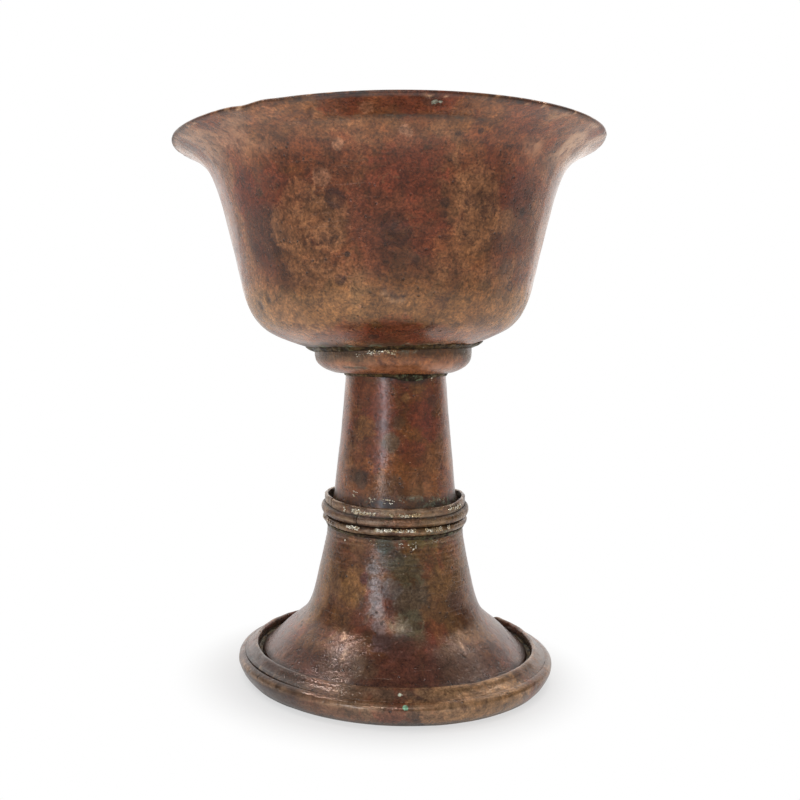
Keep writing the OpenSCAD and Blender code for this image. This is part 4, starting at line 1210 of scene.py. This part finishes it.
# the belt is painted shade on the collar's upper wall under the bowl; the ORANGE marks low at the front are painted
# reflections of the floor
m_collar = copper("copper_collar_worn_and_painted_light", COLLAR_OFF, 23.0, a=lin(104, 70, 50), b=lin(120, 82, 59), red=0.5, olive=0.35, plum=0.2,
                  rough=0.24, blotch=1.6, seed=4.0, wear_and_highlight=lin(158, 112, 88), belts=[(94.9, 97.2, 104.0, 106.0, lin(86, 68, 53), 0.85)],
                  marks=[(2.1, -20.6, 92.4, 4.0, 14.0, ORANGE, 0.7), (12.0, -18.0, 92.8, 4.0, 9.0, ORANGE, 0.5)])
m_stem = copper("copper_stem_brown", OFF, 17.0, a=lin(97, 59, 36), b=lin(112, 72, 45), red=0.60, olive=0.40, plum=0.30, orange=0.20,
                rough=0.22, blotch=1.4, seed=8.0, scratch=0.9, coat=0.30,
                marks=[(-7.4, -13.6, 61.4, 1.0, 4.6, DIRT_AND_SHADE, 0.85), (-9.5, -11.8, 62.0, 1.0, 4.0, DIRT_AND_SHADE, 0.60), (0.5, -16.6, 72.0, 1.0, 4.2, SLATE, 0.85),
                       (-2.6, -14.7, 83.0, 1.5, 5.0, PLUM, 0.75), (-3.4, -15.7, 68.0, 1.5, 5.0, PLUM, 0.70), (9.0, -15.2, 80.0, 2.0, 7.0, RED, 0.85),
                       (13.0, -13.8, 76.0, 2.0, 6.5, RED, 0.80), (7.0, -16.4, 69.0, 2.0, 6.5, RED, 0.60), (-7.0, -13.2, 76.0, 1.5, 5.5, lin(112, 78, 50), 0.70),
                       (-6.0, -14.8, 65.5, 0.8, 3.0, ORANGE, 0.65), (13.5, -14.2, 66.5, 1.5, 5.0, lin(116, 80, 54), 0.60),
                       (4.5, -15.3, 85.0, 0.6, 2.6, lin(126, 92, 62), 0.65), (1.0, -16.9, 58.8, 2.0, 6.0, SLATE, 0.6),
                       (3.0, -15.6, 78.0, 0.8, 3.6, SLATE, 0.6), (-1.5, -14.9, 77.0, 1.0, 3.6, lin(88, 66, 60), 0.7), (8.0, -13.4, 88.0, 1.0, 4.0, OLIVE, 0.6)])
m_knop = copper("copper_knop_rough", OFF, 21.0, a=lin(76, 56, 39), b=lin(104, 82, 59), red=0.2, olive=0.6, plum=0.2,
                rough=0.26, blotch=2.2, seed=12.0, scratch=0.7, bump=1.6, pits=1.1, wear_and_highlight=lin(150, 128, 106),
                marks=[(4.0, -22.0, 49.8, 2.0, 7.0, lin(122, 86, 68), 0.6), (-6.0, -20.5, 49.8, 2.0, 7.0, lin(116, 92, 80), 0.5)])
# the belt is painted shade on the low skirt
m_bell = copper("copper_foot_brown", OFF, 26.0, a=lin(88, 60, 41), b=lin(102, 74, 51), red=0.45, olive=0.50, plum=0.40, orange=0.10, belts=[(0.0, 1.0, 12.0, 18.0, lin(76, 52, 40), 0.80)],
                rough=0.18, blotch=1.2, seed=16.0, scratch=1.0, bump=1.25,
                marks=[(7.2, -23.5, 27.9, 3.0, 9.5, lin(80, 70, 60), 0.85), (5.0, -21.5, 36.0, 2.0, 7.5, lin(82, 76, 60), 0.80), (5.6, -26.3, 20.3, 2.0, 8.0, lin(86, 82, 66), 0.80),
                       # these pale grey-lilac marks down the front are a painted reflection streak
                       (-4.5, -20.9, 36.5, 0.8, 3.2, lin(98, 84, 78), 0.75), (-4.1, -21.9, 32.2, 0.8, 3.2, lin(104, 88, 82), 0.75),
                       (-3.9, -22.8, 28.2, 0.8, 3.2, lin(108, 92, 86), 0.80), (-3.6, -23.8, 24.6, 0.8, 3.4, lin(108, 92, 86), 0.75),
                       (-3.3, -25.4, 20.8, 0.8, 3.4, lin(100, 84, 82), 0.75), (-2.8, -28.0, 17.4, 1.2, 5.0, lin(84, 70, 70), 0.80),
                       (-7.2, -20.2, 33.5, 0.6, 2.6, lin(92, 58, 56), 0.70), (0.5, -23.5, 31.0, 1.5, 5.0, lin(80, 72, 68), 0.75),
                       (2.0, -29.4, 16.6, 2.0, 7.0, lin(80, 68, 66), 0.75), (0.8, -20.6, 39.5, 1.5, 5.5, lin(68, 64, 56), 0.75),
                       (-1.5, -20.3, 43.2, 1.0, 4.6, lin(58, 58, 46), 0.85), (7.6, -20.0, 44.2, 0.4, 4.4, lin(78, 78, 50), 0.50), (12.6, -18.2, 44.0, 0.4, 3.6, lin(80, 78, 52), 0.45),
                       (-11.1, -19.0, 29.5, 2.0, 6.5, lin(114, 82, 54), 0.75), (-9.8, -17.9, 34.0, 1.0, 4.5, lin(122, 88, 60), 0.70),
                       (-13.5, -19.0, 23.0, 2.0, 7.0, lin(96, 68, 48), 0.70), (14.7, -19.6, 31.0, 2.0, 6.5, lin(112, 82, 56), 0.75), (13.5, -22.6, 24.0, 2.0, 7.0, lin(102, 72, 50), 0.75),
                       (18.8, -18.0, 26.0, 1.5, 5.5, lin(84, 62, 54), 0.70), (6.0, -34.0, 12.5, 4.0, 13.0, lin(82, 54, 44), 0.70), (-14.0, -31.5, 12.0, 3.0, 11.0, lin(84, 66, 56), 0.65),
                       (20.0, -31.0, 11.0, 4.0, 12.0, lin(82, 65, 56), 0.70), (-8.0, -33.5, 12.0, 1.5, 6.0, SLATE, 0.60), (13.0, -25.0, 19.0, 1.5, 6.0, RED, 0.50),
                       (0.0, 24.0, 26.0, 4.0, 12.0, RED, 0.50), (-16.0, 16.0, 30.0, 3.0, 9.0, OLIVE, 0.60), (26.0, 14.0, 16.0, 4.0, 12.0, ORANGE, 0.35)])
m_ring = copper("copper_foot_ring_dark", OFF, 45.0, a=lin(82, 64, 54), b=lin(102, 79, 63), red=0.40, olive=0.35, plum=0.45,
                rough=0.17, blotch=1.2, seed=20.0, scratch=0.8, wear_and_highlight=lin(168, 136, 108),
                marks=[(25.0, -40.0, 6.0, 6.0, 20.0, lin(122, 93, 66), 0.80), (12.0, -46.0, 6.4, 3.0, 12.0, lin(128, 98, 72), 0.55),
                       (-18.0, -42.0, 4.0, 4.0, 14.0, lin(90, 64, 52), 0.60), (-12.0, -42.0, 9.0, 2.0, 7.0, SLATE, 0.60),
                       (-38.0, -24.0, 6.0, 12.0, 26.0, lin(56, 43, 35), 0.90), (44.5, -12.0, 7.0, 5.0, 19.0, lin(82, 62, 48), 0.70),
                       # the two CREAM flecks are painted glints
                       (1.3, -44.4, 8.75, 0.3, 0.9, CREAM, 1.0), (2.0, -44.5, 8.7, 0.2, 0.7, CREAM, 0.9), (2.6, -47.4, 6.3, 0.3, 1.15, lin(112, 150, 124), 1.2)])
m_rivet = copper("copper_rivet_head", OFF, 5.0, a=BROWN, b=TAN, red=0.5, olive=0.4, plum=0.1, rough=0.26, blotch=2.5, seed=24.0)
m_plain = copper("bronze_inner_plain", OFF, 10.0, a=lin(88, 62, 40), b=lin(106, 78, 50), red=0.3, olive=0.6, plum=0.1, rough=0.46, blotch=2.0, seed=28.0)
m_sold = solder("solder_dark", 0.20, 2.0, base=(50, 40, 30), light=(84, 68, 48))
m_sold2 = solder("solder_verdigris", 0.3, 6.0, base=(56, 46, 36), light=(88, 76, 58))


def glint_grain(name):
    """Grains of solder painted near-white as glints, yellowish, with dull and dark ones among them."""
    k = Mat(name, metallic=0.92, spec=0.5)
    n1 = k.noise(420, 3, 0.6, 0.4, offset=3.0)
    n2 = k.noise(1900, 3, 0.6, offset=6.0)
    c = k.mix(k.range(n1, 0.42, 0.56), srgb(206, 180, 142), srgb(255, 246, 226))
    c = k.mix(k.range(n2, 0.54, 0.66, 0.0, 0.6), c, srgb(120, 96, 70))
    rr = k.range(n2, 0.36, 0.64, 0.14, 0.40)
    return k.finish(c, rr, k.bump(n2, 0.0002, 0.8))


m_glint_grain = glint_grain("solder_grain_painted_glint")

PIECES = [(bowl, "bowl", "old_copper", m_bowl), (rivet, "bowl_rivet", "red_copper", m_rivet),
          (collar, "bowl_collar", "red_copper", m_collar), (bead, "bowl_solder", "solder", m_sold),
          (cbead, "collar_solder", "solder", m_sold), (stem, "stem_tube", "red_copper", m_stem),
          (sleeve, "knop_sleeve", "knop_copper", m_knop), (band, "knop_band", "knop_copper", m_knop),
          (wire, "knop_wire", "knop_copper", m_knop), (ksold, "knop_solder", "verdigris_solder", m_sold2),
          (bell, "foot_bell", "foot_copper", m_bell), (seat, "foot_seat_ring", "ring_copper", m_ring),
          (rim, "foot_rim_band", "ring_copper", m_ring), (fsold, "foot_solder", "solder", m_sold),
          (knop_grains, "knop_solder", "solder", m_glint_grain), (stem_grains, "knop_solder", "solder", m_glint_grain),
          (neck_grains, "knop_solder", "solder", m_glint_grain), (collar_grains, "bowl_solder", "solder", m_glint_grain)]
for piece, node, slot, mat in PIECES:
    piece.data.materials.append(mat)
    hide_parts(node)
    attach(piece, "root")
for node in ("rivet_rove", "stem_cap"):
    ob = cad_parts[node]
    ob = ob if isinstance(ob, bpy.types.Object) else bpy.data.objects[ob]
    for s in ob.material_slots:
        s.material = m_plain


# ---------------------------------------------------------------- stage, light and camera


def floor():
    me = bpy.data.meshes.new("floor")
    n = 96
    s = 3.0
    me.from_pydata([(s * math.cos(2 * math.pi * i / n), s * math.sin(2 * math.pi * i / n), 0) for i in range(n)], [], [tuple(range(n))])
    ob = bpy.data.objects.new("floor", me)
    bpy.context.scene.collection.objects.link(ob)
    k = Mat("pale_floor", metallic=0.0, spec=0.2)
    n = k.noise(3.0, 3)
    x, y = k.sep.outputs[0], k.sep.outputs[1]
    rad = k.math("POWER", k.math("ADD", k.math("MULTIPLY", x, x), k.math("MULTIPLY", y, y)), 0.5)
    pale = k.mix(n, (0.90, 0.90, 0.90), (0.93, 0.93, 0.925))
    # the sheet is white under the object and the room around it is dimmer; the picture's background is plain white
    front = k.math("MULTIPLY", k.range(rad, 0.18, 0.42), k.range(y, -0.16, 0.06, 1.0, 0.0))
    dim = k.mix(front, (0.80, 0.80, 0.80), (0.36, 0.36, 0.36))
    lp = k.t.nodes.new("ShaderNodeLightPath")
    c = k.mix(lp.outputs["Is Camera Ray"], dim, pale)
    k.finish(c, 0.75)
    em = k.t.nodes.new("ShaderNodeEmission")
    em.inputs[1].default_value = 1.0
    k.t.links.new(k.mix(lp.outputs["Is Camera Ray"], k.mix(front, (0.95, 0.95, 0.95), (0.30, 0.30, 0.30)), (1, 1, 1)),
                  em.inputs[0])
    mxs = k.t.nodes.new("ShaderNodeMixShader")
    shown = k.range(rad, 0.046, 0.066, 0.60, 1.0)
    f2 = k.math("ADD", k.math("MULTIPLY", lp.outputs["Is Camera Ray"], shown),
                k.math("MULTIPLY", k.math("SUBTRACT", 1.0, lp.outputs["Is Camera Ray"]), 0.45))
    k.t.links.new(f2, mxs.inputs[0])
    k.t.links.new(k.p.outputs[0], mxs.inputs[1])
    k.t.links.new(em.outputs[0], mxs.inputs[2])
    k.t.links.new(mxs.outputs[0], k.out.inputs[0])
    me.materials.append(k.m)
    return ob


floor()


def area(name, az, el, dist, size, power, color=(1, 1, 1), aim=(0.0, 0.0, 0.09), size_y=None):
    """A soft box at an azimuth from the front (0 = the camera's side, positive to the right) and an elevation."""
    d = bpy.data.lights.new(name, "AREA")
    d.shape = "RECTANGLE"
    d.size, d.size_y = size, size_y or size
    d.energy, d.color = power, color
    o = bpy.data.objects.new(name, d)
    a, e = math.radians(az), math.radians(el)
    aim = Vector(aim)
    o.location = aim + Vector((math.sin(a) * math.cos(e), -math.cos(a) * math.cos(e), math.sin(e))) * dist
    o.rotation_euler = (aim - o.location).to_track_quat("-Z", "Y").to_euler()
    bpy.context.scene.collection.objects.link(o)
    return o


area("window_front_left", -30, 10, 1.3, 0.20, 1.8, (0.66, 0.84, 1.0), size_y=0.42)
area("strip_front", -3, 36, 1.3, 0.55, 1.9, size_y=0.035)
soft_top = area("overhead", 10, 84, 1.5, 0.9, 8)
soft_top.visible_glossy = False
area("side_left", -101, 59, 1.3, 0.06, 1.6, size_y=0.13)
area("side_right", 109, 45, 1.3, 0.05, 0.5, (1.0, 0.97, 0.93), size_y=0.08)

w = bpy.data.worlds.new("studio")
bpy.context.scene.world = w
w.use_nodes = True
t = w.node_tree
t.nodes.clear()


def wnode(kind, **kw):
    n = t.nodes.new(kind)
    for k_, v_ in kw.items():
        setattr(n, k_, v_)
    return n


def wmath(op, a, b=0.0):
    n = wnode("ShaderNodeMath", operation=op)
    for i, v in enumerate((a, b)):
        if isinstance(v, bpy.types.NodeSocket):
            t.links.new(v, n.inputs[i])
        else:
            n.inputs[i].default_value = v
    return n.outputs[0]


wo = wnode("ShaderNodeOutputWorld")
bg = wnode("ShaderNodeBackground")
white = wnode("ShaderNodeBackground")
white.inputs[0].default_value = (1, 1, 1, 1)
white.inputs[1].default_value = 1.0
tc = wnode("ShaderNodeTexCoord")
sp = wnode("ShaderNodeSeparateXYZ")
t.links.new(tc.outputs["Generated"], sp.inputs[0])
az = wmath("ARCTAN2", sp.outputs[0], wmath("MULTIPLY", sp.outputs[1], -1.0))
pos = wmath("ADD", wmath("DIVIDE", az, 2 * math.pi), 0.5)
# brightness round the room by azimuth from the front: a plain dim room, white screens behind
ROOM = [(-180, 1.22), (-150, 1.30), (-138, 1.24), (-129, 0.80), (-120, 0.40), (-109, 0.12), (-98, 0.10), (-86, 0.24),
        (-70, 0.42), (-45, 0.39), (-25, 0.28), (-5, 0.14), (12, 0.12), (32, 0.18), (50, 0.30), (65, 0.34), (80, 0.22),
        (95, 0.12), (107, 0.10), (117, 0.28), (127, 0.76), (137, 1.24), (150, 1.30), (180, 1.22)]
wr = wnode("ShaderNodeValToRGB")
t.links.new(pos, wr.inputs[0])
el = wr.color_ramp.elements
while len(el) < len(ROOM):
    el.new(0.5)
for e, (d_, v) in zip(el, ROOM):
    e.position = d_ / 360.0 + 0.5
    e.color = (v, v, v, 1)
ROOM_HI = [(-180, 0.80), (-150, 0.80), (-130, 0.75), (-110, 0.60), (-98, 0.44), (-80, 0.24), (0, 0.16), (80, 0.24), (98, 0.44),
           (112, 0.70), (130, 0.80), (180, 0.80)]
wr2 = wnode("ShaderNodeValToRGB")
t.links.new(pos, wr2.inputs[0])
el = wr2.color_ramp.elements
while len(el) < len(ROOM_HI):
    el.new(0.5)
for e, (d_, v) in zip(el, ROOM_HI):
    e.position = d_ / 360.0 + 0.5
    e.color = (v, v, v, 1)
hi = wnode("ShaderNodeMapRange", interpolation_type="SMOOTHSTEP")
t.links.new(sp.outputs[2], hi.inputs["Value"])
hi.inputs["From Min"].default_value = 0.34
hi.inputs["From Max"].default_value = 0.72
mh = wnode("ShaderNodeMix", data_type="RGBA")
t.links.new(hi.outputs[0], mh.inputs[0])
t.links.new(wr.outputs[0], mh.inputs[6])
t.links.new(wr2.outputs[0], mh.inputs[7])
t.links.new(mh.outputs[2], bg.inputs[1])
bg.inputs[0].default_value = (1, 0.99, 0.98, 1)
lp = t.nodes.new("ShaderNodeLightPath")
mx = t.nodes.new("ShaderNodeMixShader")
t.links.new(lp.outputs["Is Camera Ray"], mx.inputs[0])
t.links.new(bg.outputs[0], mx.inputs[1])
t.links.new(white.outputs[0], mx.inputs[2])
t.links.new(mx.outputs[0], wo.inputs[0])

cam = bpy.data.cameras.new("camera")
cam_ob = bpy.data.objects.new("camera", cam)
bpy.context.scene.collection.objects.link(cam_ob)
cam.sensor_width = 36.0
cam.lens = 42.06
cam.shift_x = 0.1005
cam.clip_start = 0.01
pitch, roll = math.radians(3.60), math.radians(0.17)
fwd = Vector((0, math.cos(pitch), -math.sin(pitch)))
up = Vector((0, math.sin(pitch), math.cos(pitch)))
right = Vector((1, 0, 0))
r2 = right * math.cos(roll) + up * math.sin(roll)
u2 = up * math.cos(roll) - right * math.sin(roll)
from mathutils import Matrix
rot = Matrix((r2, u2, -fwd)).transposed()
cam_ob.matrix_world = Matrix.Translation((-0.0200, -0.2844, 0.1012)) @ rot.to_4x4()
bpy.context.scene.camera = cam_ob
bpy.context.scene.view_settings.view_transform = "Standard"
bpy.context.scene.view_settings.look = "None"
